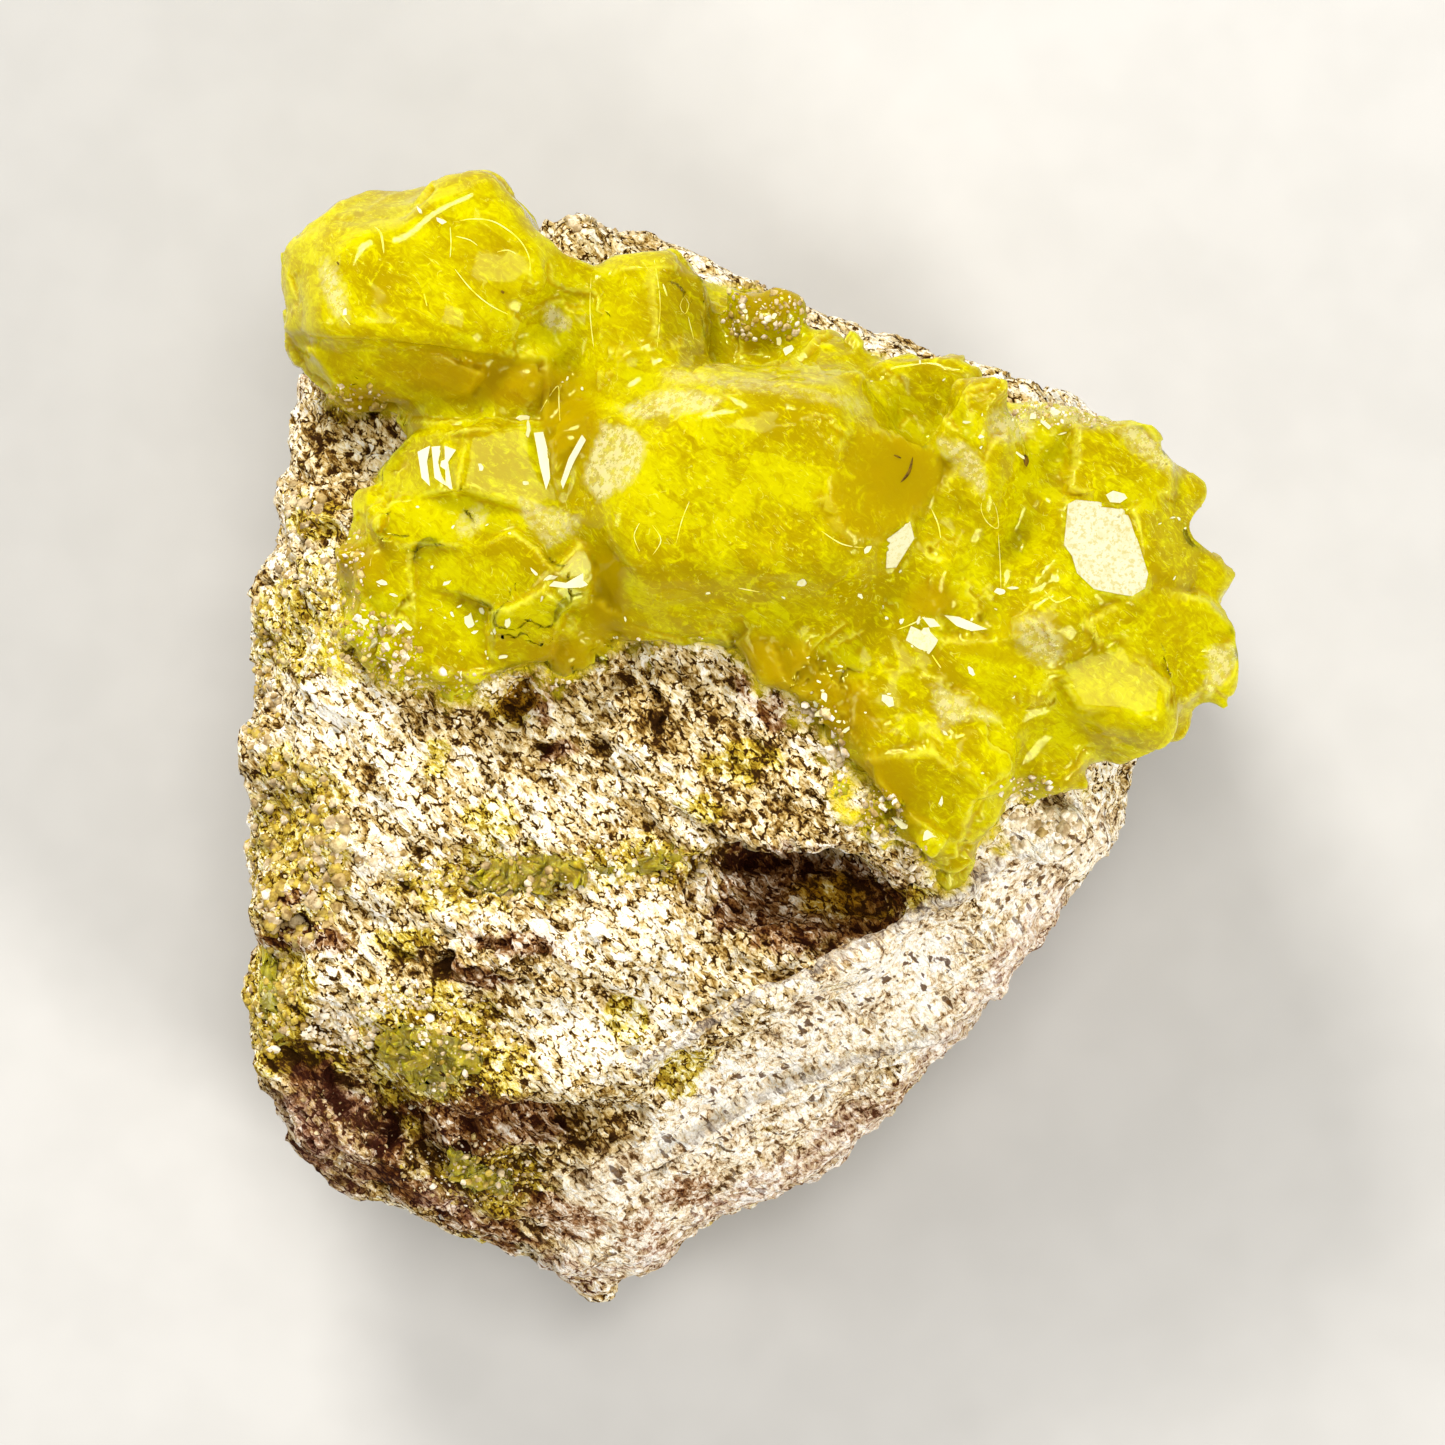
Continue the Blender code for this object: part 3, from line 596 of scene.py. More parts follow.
def sulfur_glass(name, density, transmission, gold, lemon, bright):
    """Clear yellow sulfur, cloudy and cracked inside, with painted highlight and painted shade on
    its faces and edges.
    """
    material, tree, shader = new_material(name)
    zone, edge = masks(tree, "zone"), masks(tree, "edge")
    plain = millimetres(tree)
    wavy = bent(tree, plain, 0.5, 0.8)
    shards = bent(tree, millimetres(tree, turn=38, scale=(0.45, 1.2, 0.8)), 0.7, 0.5)
    clouds = cloud(tree, plain, 0.30, 3.0, 0.6)
    veils = cloud(tree, plain, 1.1, 3.0, 0.62, 2.4)
    fine = cloud(tree, plain, 2.2, 2.0, 0.6)
    crumple = cloud(tree, shards, 2.8, 3.0, 0.72, 1.2)
    frost_and_highlight = cloud(tree, plain, 2.6, 3.0, 0.74)
    folds = cloud(tree, shards, 0.9, 2.0, 0.5, 1.6)

    tone = plus(tree, times(tree, cells(tree, wavy, 0.34), 0.26),
                times(tree, cells(tree, shards, 0.85), 0.30), clouds,
                step(tree, crumple, 0.3, 0.7, -0.16, 0.16))
    base = mix(tree, step(tree, tone, 0.48, 1.1), gold, lemon)
    base = mix(tree, step(tree, veils, 0.54, 0.68, 0.0, 0.6), base, bright)
    base = mix(tree, step(tree, crumple, 0.60, 0.70, 0.0, 0.7), base, bright)
    base = mix(tree, step(tree, veils, 0.46, 0.34, 0.0, 0.45), base, gold)
    line = calc(tree, "ABSOLUTE", plus(tree, folds, -0.52), 0.0)
    line = times(tree, step(tree, line, 0.0, 0.016, 0.6, 0.0), step(tree, fine, 0.50, 0.58))
    base = mix(tree, line, base, (0.90, 0.88, 0.10))
    # Painted highlight along the crystals' edges and painted shade in their folds
    base = mix(tree, times(tree, edge[0], 0.4), base, (0.90, 0.87, 0.10))
    base = mix(tree, times(tree, edge[1], 0.7), base, (0.56, 0.37, 0.0))
    base = mix(tree, zone[0], base, (0.41, 0.255, 0.0))
    # Painted shade on faces turned from the light, with the deeper gold of the crystal
    deep = times(tree, zone[2], step(tree, veils, 0.64, 0.5, 0.45, 1.0))
    base = mix(tree, deep, base, (0.47, 0.335, 0.0))
    # Painted highlight and cloud on the pale faces and ovals
    pale = times(tree, zone[1], step(tree, frost_and_highlight, 0.40, 0.58, 0.2, 1.0))
    base = mix(tree, pale, base, (0.77, 0.72, 0.34))
    rough = plus(tree, step(tree, fine, 0.42, 0.66, 0.05, 0.11), times(tree, pale, 0.35))
    set_inputs(tree, shader, Base_Color=base, Roughness=rough, IOR=1.34,
               Specular_IOR_Level=0.25, Specular_Tint=(0.86, 1.0, 0.35, 1.0),
               Transmission_Weight=transmission, Subsurface_Weight=0.6,
               Subsurface_Radius=(1.0, 0.85, 0.03), Subsurface_Scale=0.0018)
    absorb = node(tree, "ShaderNodeVolumeAbsorption", {
        "Color": (0.9985, 0.9965, 0.02, 1.0), "Density": density,
    })
    tree.links.new(absorb.outputs["Volume"], tree.nodes["Material Output"].inputs["Volume"])
    return material


def frosted_and_highlight_sulfur():
    """Etched faces, painted almost white where the frost is thick, with bare specks: frost and
    painted highlight, and brighter painted glints where the face glints.
    """
    material, tree, shader = new_material("frosted_and_highlight_sulfur")
    zone = masks(tree, "zone")
    plain = millimetres(tree)
    specks = cloud(tree, plain, 4.5, 3.0, 0.7)
    patches = cloud(tree, plain, 1.3, 4.0, 0.7, 0.5)
    amount = times(tree, times(tree, zone[0], step(tree, patches, 0.36, 0.56, 0.70, 1.0)),
                   step(tree, specks, 0.40, 0.50, 0.3, 1.0))
    base = mix(tree, amount, (0.42, 0.36, 0.10), (0.545, 0.53, 0.36))
    # Painted glint on the chips, strips and comb
    base = mix(tree, zone[1], base, (0.90, 0.87, 0.48))
    set_inputs(tree, shader, Base_Color=base, IOR=1.6, Specular_IOR_Level=0.1,
               Roughness=step(tree, specks, 0.3, 0.7, 0.40, 0.60),
               Normal=bumps(tree, specks, 0.04))
    return material


def bright_fracture_and_glint():
    """Fracture edges painted bright, some of them painted glints."""
    material, tree, shader = new_material("bright_fracture_and_glint")
    wander = cloud(tree, millimetres(tree), 1.6, 2.0)
    base = mix(tree, step(tree, wander, 0.35, 0.65), (0.74, 0.66, 0.02), (0.82, 0.78, 0.24))
    set_inputs(tree, shader, Base_Color=base, IOR=1.6, Specular_IOR_Level=0.1,
               Roughness=step(tree, wander, 0.3, 0.7, 0.3, 0.5))
    return material


def dark_inclusion():
    """Dark specks shut in near the surface of the crystals."""
    material, tree, shader = new_material("dark_inclusion")
    wander = cloud(tree, millimetres(tree), 4.0, 2.0)
    base = mix(tree, step(tree, wander, 0.35, 0.65), (0.05, 0.022, 0.001), (0.16, 0.085, 0.002))
    set_inputs(tree, shader, Base_Color=base, Specular_IOR_Level=0.1,
               Roughness=step(tree, wander, 0.3, 0.7, 0.4, 0.7))
    return material


def pale_floor():
    material, tree, shader = new_material("pale_floor")
    paper = cloud(tree, millimetres(tree), 0.2, 2.0)
    colour = mix(tree, step(tree, paper, 0.3, 0.7), (0.46, 0.455, 0.44), (0.48, 0.475, 0.46))
    set_inputs(tree, shader, Base_Color=colour, Roughness=0.85)
    return material


# Rock

# The grid that the rock is remeshed on
ROCK_SPACING = 0.405
# Rock closer than this to the sulfur is buried, and stays coarse
BURIED = 1.1
# Rock closer than this to the finished crystals is lit yellow by them
UNDER_REACH = 0.6
# The way that the rock's grain runs
STREAK = Vector((math.cos(math.radians(-40)), math.sin(math.radians(-40)), 0.0))
# The underside stays flat up to this height
FLAT_BASE = 0.25

# Ovals seen from above: middle, half sizes and turn
YELLOW_STAINS = [
    (276, 985, 40, 64, 0), (300, 1050, 60, 22, -24), (415, 1085, 56, 50, 20),
    (482, 880, 96, 34, 4), (636, 862, 80, 26, 3), (300, 850, 60, 96, 0),
    (440, 1048, 96, 66, -20), (420, 1105, 34, 34, 0), (484, 1180, 66, 40, -10),
    (272, 1000, 40, 66, 0), (516, 702, 20, 28, -30), (330, 612, 100, 66, 20),
    (400, 656, 70, 34, 0), (492, 824, 26, 22, -30), (440, 752, 14, 26, -20),
    (282, 760, 22, 22, 0), (264, 650, 18, 24, 0), (700, 812, 26, 14, 0),
    (850, 660, 70, 30, -35), (355, 402, 34, 20, 0), (300, 1060, 44, 18, 0),
    (622, 1022, 26, 26, 0), (680, 1070, 34, 26, 30), (900, 900, 60, 10, 22),
    (740, 760, 40, 22, 0), (310, 520, 40, 20, 0), (400, 940, 40, 14, 0),
]
RUST_STAINS = [
    (800, 898, 104, 58, -5), (505, 1120, 76, 26, -10), (642, 1230, 30, 24, 20),
    (340, 1090, 44, 14, -35), (388, 1136, 20, 30, 0), (320, 1138, 40, 8, -30),
    (545, 690, 24, 34, -30), (300, 1172, 44, 20, -20),
    (690, 1190, 30, 16, 20), (300, 940, 56, 16, 0), (560, 750, 18, 14, 0),
    (450, 1125, 60, 30, -20), (300, 1092, 16, 34, -20), (480, 1226, 60, 14, -10),
    (470, 1160, 24, 16, 0),
    (290, 900, 30, 14, 0), (760, 700, 40, 20, -40), (395, 1185, 60, 16, -14),
    (560, 1215, 60, 16, -10), (520, 945, 60, 12, -8), (480, 975, 50, 10, -14),
]
# Ovals where painted shade darkens the rock: in the hollow under the upper left crystal, below the
# crystals, in the cavity under the ledge, along ledges and cracks and over the lower left
SHADED_ZONES = [
    (345, 470, 62, 92, 0), (765, 760, 132, 100, -38), (660, 690, 46, 50, 0),
    (350, 1110, 110, 56, -30), (800, 900, 120, 60, 0), (450, 960, 110, 30, -8),
    (505, 1122, 110, 34, -10), (290, 930, 50, 20, 0), (430, 1140, 240, 110, -15),
    (700, 1180, 130, 20, 30), (860, 1110, 110, 16, 30), (480, 720, 60, 30, -20),
]
# Broad ovals over the lower left where painted shade darkens the rock further
LOWER_SHADE_ZONES = [(420, 1120, 250, 120, -15), (300, 940, 70, 60, 0)]
SMOOTH_ZONES = [
    (870, 1000, 150, 62, 35), (760, 1110, 150, 70, 28), (1040, 870, 80, 60, 50),
    (640, 1200, 110, 60, 20), (990, 1000, 130, 56, 48), (1080, 870, 80, 46, 60),
    (800, 1170, 150, 50, 32), (650, 1250, 70, 30, 24),
]
CHALKY_ZONES = [
    (378, 855, 26, 20, 0), (340, 1030, 38, 26, 10), (396, 998, 30, 16, 0),
    (440, 905, 26, 12, 0), (1045, 830, 40, 24, 30), (590, 1180, 50, 26, 15),
    (580, 1060, 60, 40, 30), (300, 640, 30, 22, 0), (370, 740, 110, 40, -40),
    (640, 930, 120, 30, 10), (450, 1120, 22, 8, 0), (560, 205, 60, 20, 0),
    (900, 990, 130, 40, 35), (720, 1100, 110, 40, 30), (470, 780, 120, 30, -30),
    (292, 1112, 20, 20, 0), (356, 1164, 34, 14, 25), (424, 1176, 22, 10, 0),
    (330, 1106, 10, 16, 0),
]
AMBER_WALLS = [(830, 900, 44, 26, -10), (518, 700, 18, 24, -30)]
PINK_RIMS = [
    (272, 1130, 22, 60, -24), (330, 1186, 50, 12, -10), (450, 1204, 40, 14, -14),
    (575, 1272, 50, 22, -10), (660, 1254, 50, 14, 30), (1020, 955, 90, 22, 50),
    (850, 1134, 130, 26, 34), (940, 1060, 70, 26, 46), (750, 1196, 80, 24, 30),
    (330, 1130, 60, 50, -30),
]
PIT_SPOTS = [
    (550, 745, 12, 9, -30), (516, 702, 14, 20, -30), (870, 898, 40, 18, 0),
    (740, 858, 46, 18, -8), (700, 858, 16, 14, 0), (600, 742, 14, 8, -20),
    (445, 963, 12, 8, 0), (545, 955, 16, 6, 0), (300, 930, 22, 9, -20),
    (660, 726, 8, 10, 0), (592, 662, 12, 6, -30), (330, 1090, 26, 6, -35),
    (380, 1145, 12, 16, 0), (345, 1100, 12, 6, 0), (370, 412, 8, 6, 0),
]
# Drawn lines seen from above: points and half width
CRACKS = [
    ([(646, 636), (644, 668), (652, 704), (656, 742)], 2.2),
    ([(655, 690), (663, 716), (660, 742)], 3.0),
    ([(812, 790), (822, 812), (836, 832)], 3.0),
    ([(410, 922), (440, 930), (470, 938), (500, 940), (548, 956)], 4.0),
    ([(325, 962), (380, 958), (445, 962), (482, 972), (522, 988)], 3.0),
    ([(250, 560), (272, 600)], 3.0),
    ([(700, 834), (780, 862), (850, 880), (930, 888)], 3.5),
    ([(330, 1075), (372, 1090), (395, 1120), (392, 1150)], 3.5),
    ([(445, 1175), (520, 1165), (560, 1180), (640, 1180), (700, 1150)], 2.2),
    ([(700, 1156), (760, 1122), (850, 1086), (930, 1058)], 2.0),
    ([(836, 1006), (860, 1020)], 3.0), ([(806, 960), (826, 972)], 2.5),
    ([(872, 1016), (884, 1030)], 2.5), ([(700, 1008), (716, 1024)], 3.0),
]
RIDGES = [
    ([(636, 1064), (700, 1028), (770, 990), (850, 950), (930, 908), (1000, 862)], 6.0),
    ([(690, 1140), (760, 1098), (850, 1062), (960, 1030)], 4.0),
    ([(560, 1190), (640, 1168), (720, 1130)], 5.0),
]
# Where the furrow lies beside each ridge
FURROW = (6.0, 11.0)
# How near the sulfur the rock rises to lap onto it, and how high
LAP_REACH = 0.9
LAP_RISE = 0.45


def refine_open_faces(rock, buried_by):
    """Splits the faces that look up and aren't buried, so that they carry finer relief."""
    mesh = rock.data
    work_on(rock)
    bpy.ops.object.mode_set(mode="EDIT")
    bpy.ops.mesh.select_mode(type="FACE")
    bpy.ops.mesh.select_all(action="DESELECT")
    bpy.ops.object.mode_set(mode="OBJECT")
    for face in mesh.polygons:
        if face.normal.z > 0.05:
            _, _, _, far = buried_by.find_nearest(face.center / MM, BURIED)
            face.select = far is None
    bpy.ops.object.mode_set(mode="EDIT")
    bpy.ops.mesh.subdivide(number_cuts=1)
    bpy.ops.object.mode_set(mode="OBJECT")


def nearness(places, tree, reach):
    """From 1 on a surface to 0 at this far from it."""
    near = np.zeros(len(places))
    for index, place in enumerate(places):
        _, _, _, far = tree.find_nearest(Vector(place), reach)
        if far is not None:
            near[index] = 1.0 - far / reach
    return near


def rock_relief(rock, buried_by):
    """Chips, grains, pits and cracks, and the masks that its colours follow."""
    mesh = rock.data
    places, normals = places_of(mesh), normals_of(mesh)
    u, v = pixels_of(places)
    facing = smooth_step(-0.2, 0.4, normals[:, 2])
    wander = np.array([noise.noise_vector(Vector(place) / 1.1) for place in places])
    stray_u, stray_v = 16.0 * wander[:, 0], 16.0 * wander[:, 1]
    smooth_face = spots(u, v, SMOOTH_ZONES) * facing
    shaded = spots(u + stray_u, v + stray_v, SHADED_ZONES) * facing
    broken = smooth_step(-0.25, 0.15, wander[:, 2])
    deep = np.maximum(spots(u + stray_u, v + stray_v, PIT_SPOTS),
                      broken * lines(u + 0.5 * stray_u, v + 0.5 * stray_v, CRACKS)) * facing
    drawn = places - 0.55 * (places @ np.array(STREAK))[:, None] * np.array(STREAK)
    pores = np.zeros(len(places))
    lumps = np.zeros(len(places))
    for index, place in enumerate(places):
        at, along = Vector(place), Vector(drawn[index])
        chips = noise.ridged_multi_fractal(along / 1.7, 0.9, 2.1, 4, 1.0, 2.0)
        hole = noise.noise(along / 0.42 + Vector((7.0, 3.0, 1.0)))
        pores[index] = max(0.0, min(1.0, (hole - 0.40) / 0.16))
        lumps[index] = 0.34 * noise.fractal(at / 3.4, 1.0, 2.0, 3) + 0.30 * (chips - 1.1)
    chips = faceted(drawn, 1.25, 0.55, 0.42) + 0.8 * faceted(drawn, 0.5, 0.6, 0.5)
    height = (1.0 - 0.72 * smooth_face) * (lumps + chips - chips.mean() - 0.26 * pores)
    # Painted light on the crests of the chips and painted shade in the hollows between them
    crest = 0.5 + (chips - chips.mean()) / 0.8 - 0.3 * pores
    height -= 0.6 * deep
    height += 0.26 * lines(u, v, RIDGES) * facing
    height -= 0.30 * lines(u + FURROW[0], v + FURROW[1], RIDGES) * facing
    height += LAP_RISE * smooth_step(0.0, 0.6, nearness(places, buried_by, LAP_REACH))
    base = places[:, 2] < FLAT_BASE
    height[base] = 0.0
    height *= smooth_step(0.0, 1.6, places[:, 2])
    places += normals * height[:, None]
    places[base, 2] = 0.0
    places[:, 2] = np.maximum(places[:, 2], 0.0)
    set_places(mesh, places)

    wide = np.array([noise.noise(Vector(place) / 5.0 + Vector((3, 9, 4))) for place in places])
    side = 1.0 - facing
    yellow = spots(u + stray_u, v - stray_v, YELLOW_STAINS) * facing
    rust = spots(u - stray_u, v + stray_v, RUST_STAINS) * facing
    yellow = np.maximum(yellow, side * smooth_step(0.10, 0.45, wide) * 0.7)
    rust = np.maximum(rust, side * smooth_step(0.15, 0.5, -wide) * 0.7)
    # Pits, pores and cracks painted darker: the dark of real holes, with painted shade in them
    pit = np.maximum(0.8 * pores * (1.0 - 0.7 * smooth_face), deep)
    chalky = spots(u + stray_u, v + stray_v, CHALKY_ZONES) * facing
    amber = spots(u + stray_u, v + stray_v, AMBER_WALLS) * facing
    pink = 0.95 * spots(u + stray_u, v + stray_v, PINK_RIMS)
    # Pits, the smooth face, and painted shade in the shaded ovals
    paint(mesh, "pits_smooth_face_and_shade", pit, smooth_face, shaded)
    paint(mesh, "bloom", chalky, amber, pink)
    lip = lines(u, v, RIDGES[:2]) * facing
    # Crests painted lighter and hollows darker, the lip, and painted shade over the lower left
    paint(mesh, "form", np.clip(crest, 0.0, 1.0), 0.85 * lip, spots(u, v, LOWER_SHADE_ZONES) * facing)
    return yellow, rust


def make_rock(buried_by):
    rock = copy_of_node("matrix", "rock")
    modify(rock, "REMESH", mode="VOXEL", voxel_size=ROCK_SPACING * MM)
    refine_open_faces(rock, buried_by)
    stains = rock_relief(rock, buried_by)
    keep_in_box(rock)
    return rock, stains


def finish_rock(rock, stains, crystals, material):
    """Paints the rock yellow where sulfur lies on it, as painted yellow light from the crystals
    and as sulfur, and gives it its finish.
    """
    under = nearness(places_of(rock.data), crystals, UNDER_REACH)
    # Yellow and rusty stains, and painted yellow light with sulfur under the crystals
    paint(rock.data, "stains_and_crystal_light", *stains, smooth_step(0.35, 0.9, under))
    finish_piece(rock, material, "matrix")


# Where grains stand out: an oval seen from above, how many, their sizes, and the shares of
# tan and golden ones among the white
GRAIN_ZONES = [
    ((296, 850, 52, 96, 560), (0.12, 0.50), 0.80, 0.50),
    ((262, 700, 18, 70, 120), (0.14, 0.40), 0.9, 0.30),
    ((378, 855, 26, 20, 110), (0.12, 0.30), 0.1, 0.0),
    ((340, 1030, 38, 26, 210), (0.12, 0.32), 0.2, 0.0),
    ((396, 998, 34, 16, 110), (0.10, 0.26), 0.2, 0.1),
    ((432, 1050, 80, 60, 300), (0.07, 0.20), 0.4, 0.5),
    ((272, 1000, 26, 56, 240), (0.14, 0.36), 0.5, 0.8),
    ((480, 875, 100, 26, 260), (0.08, 0.24), 0.5, 0.4),
    ((640, 862, 80, 22, 200), (0.08, 0.24), 0.5, 0.5),
    ((1045, 832, 42, 26, 110), (0.16, 0.50), 0.2, 0.0),
    ((340, 620, 90, 60, 420), (0.10, 0.34), 0.8, 0.45),
    ((470, 1170, 70, 34, 200), (0.08, 0.24), 0.6, 0.3),
    ((350, 1120, 70, 40, 60), (0.06, 0.20), 1.0, 0.0),
    ((620, 222, 70, 14, 120), (0.12, 0.34), 0.5, 0.0),
    ((290, 520, 34, 60, 160), (0.12, 0.36), 0.9, 0.05),
]
CRUSTED_ZONES = [
    ((764, 312, 46, 32, 260), (0.08, 0.28), 0.6, 0.4),
    ((1072, 412, 62, 16, 200), (0.06, 0.20), 0.1, 0.4),
    ((350, 398, 40, 14, 90), (0.10, 0.30), 0.7, 0.7),
    ((482, 878, 84, 24, 200), (0.06, 0.26), 0.6, 0.6),
    ((470, 1030, 60, 30, 150), (0.06, 0.30), 0.3, 0.5),
    ((440, 1070, 50, 44, 150), (0.06, 0.22), 0.5, 0.8),
    ((484, 1180, 54, 30, 150), (0.06, 0.22), 0.6, 0.6),
    ((376, 650, 50, 36, 260), (0.08, 0.34), 0.2, 0.6),
    ((480, 684, 90, 14, 160), (0.07, 0.26), 0.3, 0.5),
    ((350, 580, 16, 60, 130), (0.08, 0.30), 0.3, 0.6),
    ((806, 712, 34, 10, 90), (0.07, 0.34), 0.4, 0.3),
    ((838, 762, 10, 36, 110), (0.07, 0.36), 0.4, 0.3),
    ((880, 815, 22, 26, 110), (0.07, 0.34), 0.4, 0.4),
    ((916, 862, 14, 22, 70), (0.07, 0.30), 0.4, 0.5),
    ((690, 642, 70, 6, 20), (0.07, 0.20), 0.6, 0.2),
    ((1030, 790, 30, 16, 60), (0.07, 0.30), 0.2, 0.2),
]


def make_grains(trees, material):
    """Grains that stand out of the rock and of the crusts on the crystals."""
    rng = random.Random(11)
    patterns = [grain(seed) for seed in range(6)]
    poses, tints = [], []
    for number, (oval, (least, most), tan_share, gold_share) in enumerate(
            GRAIN_ZONES + CRUSTED_ZONES):
        seen = zip(*[scattered(random.Random(number), tree, [oval], True) for tree in trees])
        for hits in seen:
            highest = max((hit for hit in hits if hit), key=lambda hit: hit[0].z, default=None)
            if highest is None or (number < len(GRAIN_ZONES) and highest is not hits[0]):
                continue
            place, normal = highest
            size = least + (most - least) * rng.random() ** 3
            axis = Vector((rng.gauss(0, 1), rng.gauss(0, 1), rng.gauss(0, 1))).normalized()
            shape = [size * rng.uniform(0.7, 1.3) for _ in range(3)]
            sunk = place - normal * size * rng.uniform(0.3, 0.8)
            poses.append((rng.randrange(6), pose_at(sunk, axis, rng.uniform(0, 6.3), shape)))
            tints.append((rng.uniform(0.5, 1.0) * (rng.random() < tan_share),
                          rng.uniform(0.5, 1.0) * (rng.random() < gold_share)))
    made = copies("rock_grains", patterns, poses)
    keep_in_box(made)
    each = [len(patterns[number][0]) for number, _ in poses]
    spread = np.repeat(np.array(tints), each, axis=0)
    paint(made.data, "tint", spread[:, 0], spread[:, 1], 0.0)
    finish_piece(made, material)


# Crystals

# The grid that the crystals are remeshed on, and the share of its triangles that is kept
CRYSTAL_SPACING = 0.17
CRYSTAL_SHARE = 0.64
# Half the width of the gaps between large crystals that are closed, on a coarser grid
GAP_REACH = 0.24
GAP_SPACING = 0.3
# The same for the pits between small crystals
PIT_REACH = 0.22
# The share of a face's corners that its plane lies above
PLATEAU = 0.7
# How far from its plane a face is ground, and how tall a crystal is ground off a shard
GRINDING_REACH = 1.6
TALLEST_KNOB = 4.5
# How near the rock the sulfur is drawn down onto it, and how far it sinks in
SEAT_REACH = 0.75
SEAT_DEPTH = 0.30

# Ovals seen from above, as on the rock
AMBER_ZONES = [
    (570, 425, 34, 46, 0), (606, 592, 18, 50, 0), (790, 670, 70, 30, -25),
    (900, 478, 42, 44, 0), (360, 402, 36, 18, 10), (770, 300, 40, 30, 30),
    (830, 700, 60, 40, -30), (560, 660, 40, 24, 0), (930, 600, 30, 20, 0),
    (500, 380, 110, 26, -5), (880, 800, 40, 50, 0), (350, 560, 30, 20, 0),
]
# Ovals painted pale on the crystals, as cloud and as painted highlight
PALE_ZONES = [
    (1070, 410, 66, 16, -10), (1010, 425, 24, 18, 0), (1150, 448, 40, 12, -40),
    (334, 292, 10, 34, 20), (1040, 640, 20, 30, 40),
]
BUSY_ZONES = [
    (470, 560, 100, 110, 0), (450, 640, 110, 44, 0), (590, 630, 34, 50, 0),
    (840, 690, 80, 60, -30), (930, 640, 60, 40, 0), (960, 390, 80, 26, 20),
    (540, 410, 60, 40, 0), (1010, 430, 60, 36, 0), (880, 830, 40, 50, 0),
]

SMOOTH_CRYSTALS = [
    (410, 275, 150, 100, 0), (748, 505, 218, 136, -6),
    (1130, 560, 100, 130, 0), (1010, 540, 60, 90, 0), (1120, 690, 110, 60, 0),
]

# Small crystals on the mass: an oval seen from above, how many, and their half widths
KNOBS = [
    ((470, 530, 95, 80, 12), (2.2, 3.4)),
    ((440, 650, 110, 34, 26), (0.8, 1.7)),
    ((570, 635, 40, 44, 7), (0.8, 1.5)),
    ((900, 395, 110, 24, 6), (1.2, 2.0)),
    ((810, 680, 80, 34, 8), (0.8, 1.6)),
    ((520, 400, 60, 30, 3), (1.0, 1.8)),
    ((350, 590, 34, 60, 14), (0.5, 1.2)),
    ((790, 700, 40, 20, 8), (0.6, 1.4)),
    ((850, 765, 16, 40, 9), (0.6, 1.4)),
    ((900, 850, 22, 30, 8), (0.5, 1.2)),
    ((950, 800, 70, 60, 5), (1.4, 2.6)),
    ((680, 650, 60, 10, 8), (0.5, 1.1)),
    ((446, 534, 4, 4, 1), (2.8, 3.0)),
    ((414, 560, 4, 4, 1), (2.4, 2.6)),
]
# The same for small crystals that stand on the rock at the mass's edge
BORDER_KNOBS = [
    ((760, 684, 30, 10, 5), (0.6, 1.1)),
    ((815, 722, 20, 12, 6), (0.6, 1.2)),
    ((842, 775, 10, 26, 7), (0.6, 1.2)),
    ((880, 826, 16, 22, 6), (0.6, 1.1)),
    ((918, 874, 10, 10, 3), (0.5, 0.8)),
    ((990, 838, 26, 14, 4), (0.5, 1.0)),
    ((1050, 780, 40, 10, 5), (0.5, 1.1)),
    ((625, 640, 30, 14, 4), (0.5, 1.0)),
    ((500, 686, 70, 8, 8), (0.5, 1.1)),
    ((390, 690, 40, 10, 7), (0.5, 1.0)),
    ((340, 640, 12, 36, 6), (0.4, 0.9)),
]
# The same for the steep sides, except those up and to the left of this pixel
SIDE_KNOBS = 120
SIDE_KNOB_SIZES = (0.8, 1.8)
BARE_CORNER = (560, 400)

# Etched crystal faces with crisp outlines, painted pale as frost and as painted highlight: how
# thick the frost is, how much painted glint the face carries, and a polygon seen from above
FROSTED_AND_HIGHLIGHT_FACES = {
    "hexagon": (1.0, 0.0, [(1068, 504), (1076, 500), (1098, 502), (1125, 510), (1130, 517),
                      (1148, 574), (1145, 588), (1132, 596), (1118, 594), (1094, 589),
                      (1077, 573), (1072, 556), (1064, 545)]),
    "above_hexagon": (1.0, 0.4, [(1106, 495), (1113, 491), (1124, 494), (1127, 498), (1120, 503),
                            (1110, 502)]),
    "blade": (1.0, 0.3, [(910, 522), (914, 538), (896, 567), (886, 568), (887, 539)]),
    "chip": (1.0, 0.4, [(906, 640), (911, 626), (922, 631), (926, 628), (938, 640), (935, 646),
                   (929, 654), (918, 648)]),
    "upper_strip": (1.0, 0.8, [(944, 615), (959, 617), (987, 629), (971, 631), (957, 626)]),
    "left_strip": (1.0, 0.8, [(922, 617), (934, 619), (940, 626), (930, 627)]),
    "lens": (1.0, 0.9, [(549, 586), (554, 581), (566, 583), (583, 573), (583, 587), (566, 588)]),
    "spike": (1.0, 0.9, [(534, 433), (543, 432), (548, 452), (550, 478), (546, 490), (540, 466)]),
    "notch": (1.0, 0.6, [(582, 435), (586, 440), (574, 462), (563, 489), (561, 482), (569, 458)]),
    "comb_left": (1.0, 1.0, [(418, 452), (430, 446), (427, 462), (430, 486), (422, 478)]),
    "comb_middle": (1.0, 1.0, [(432, 447), (442, 446), (438, 462), (443, 484), (435, 478)]),
    "comb_right": (1.0, 1.0, [(445, 446), (456, 450), (448, 462), (453, 492), (446, 484)]),
}
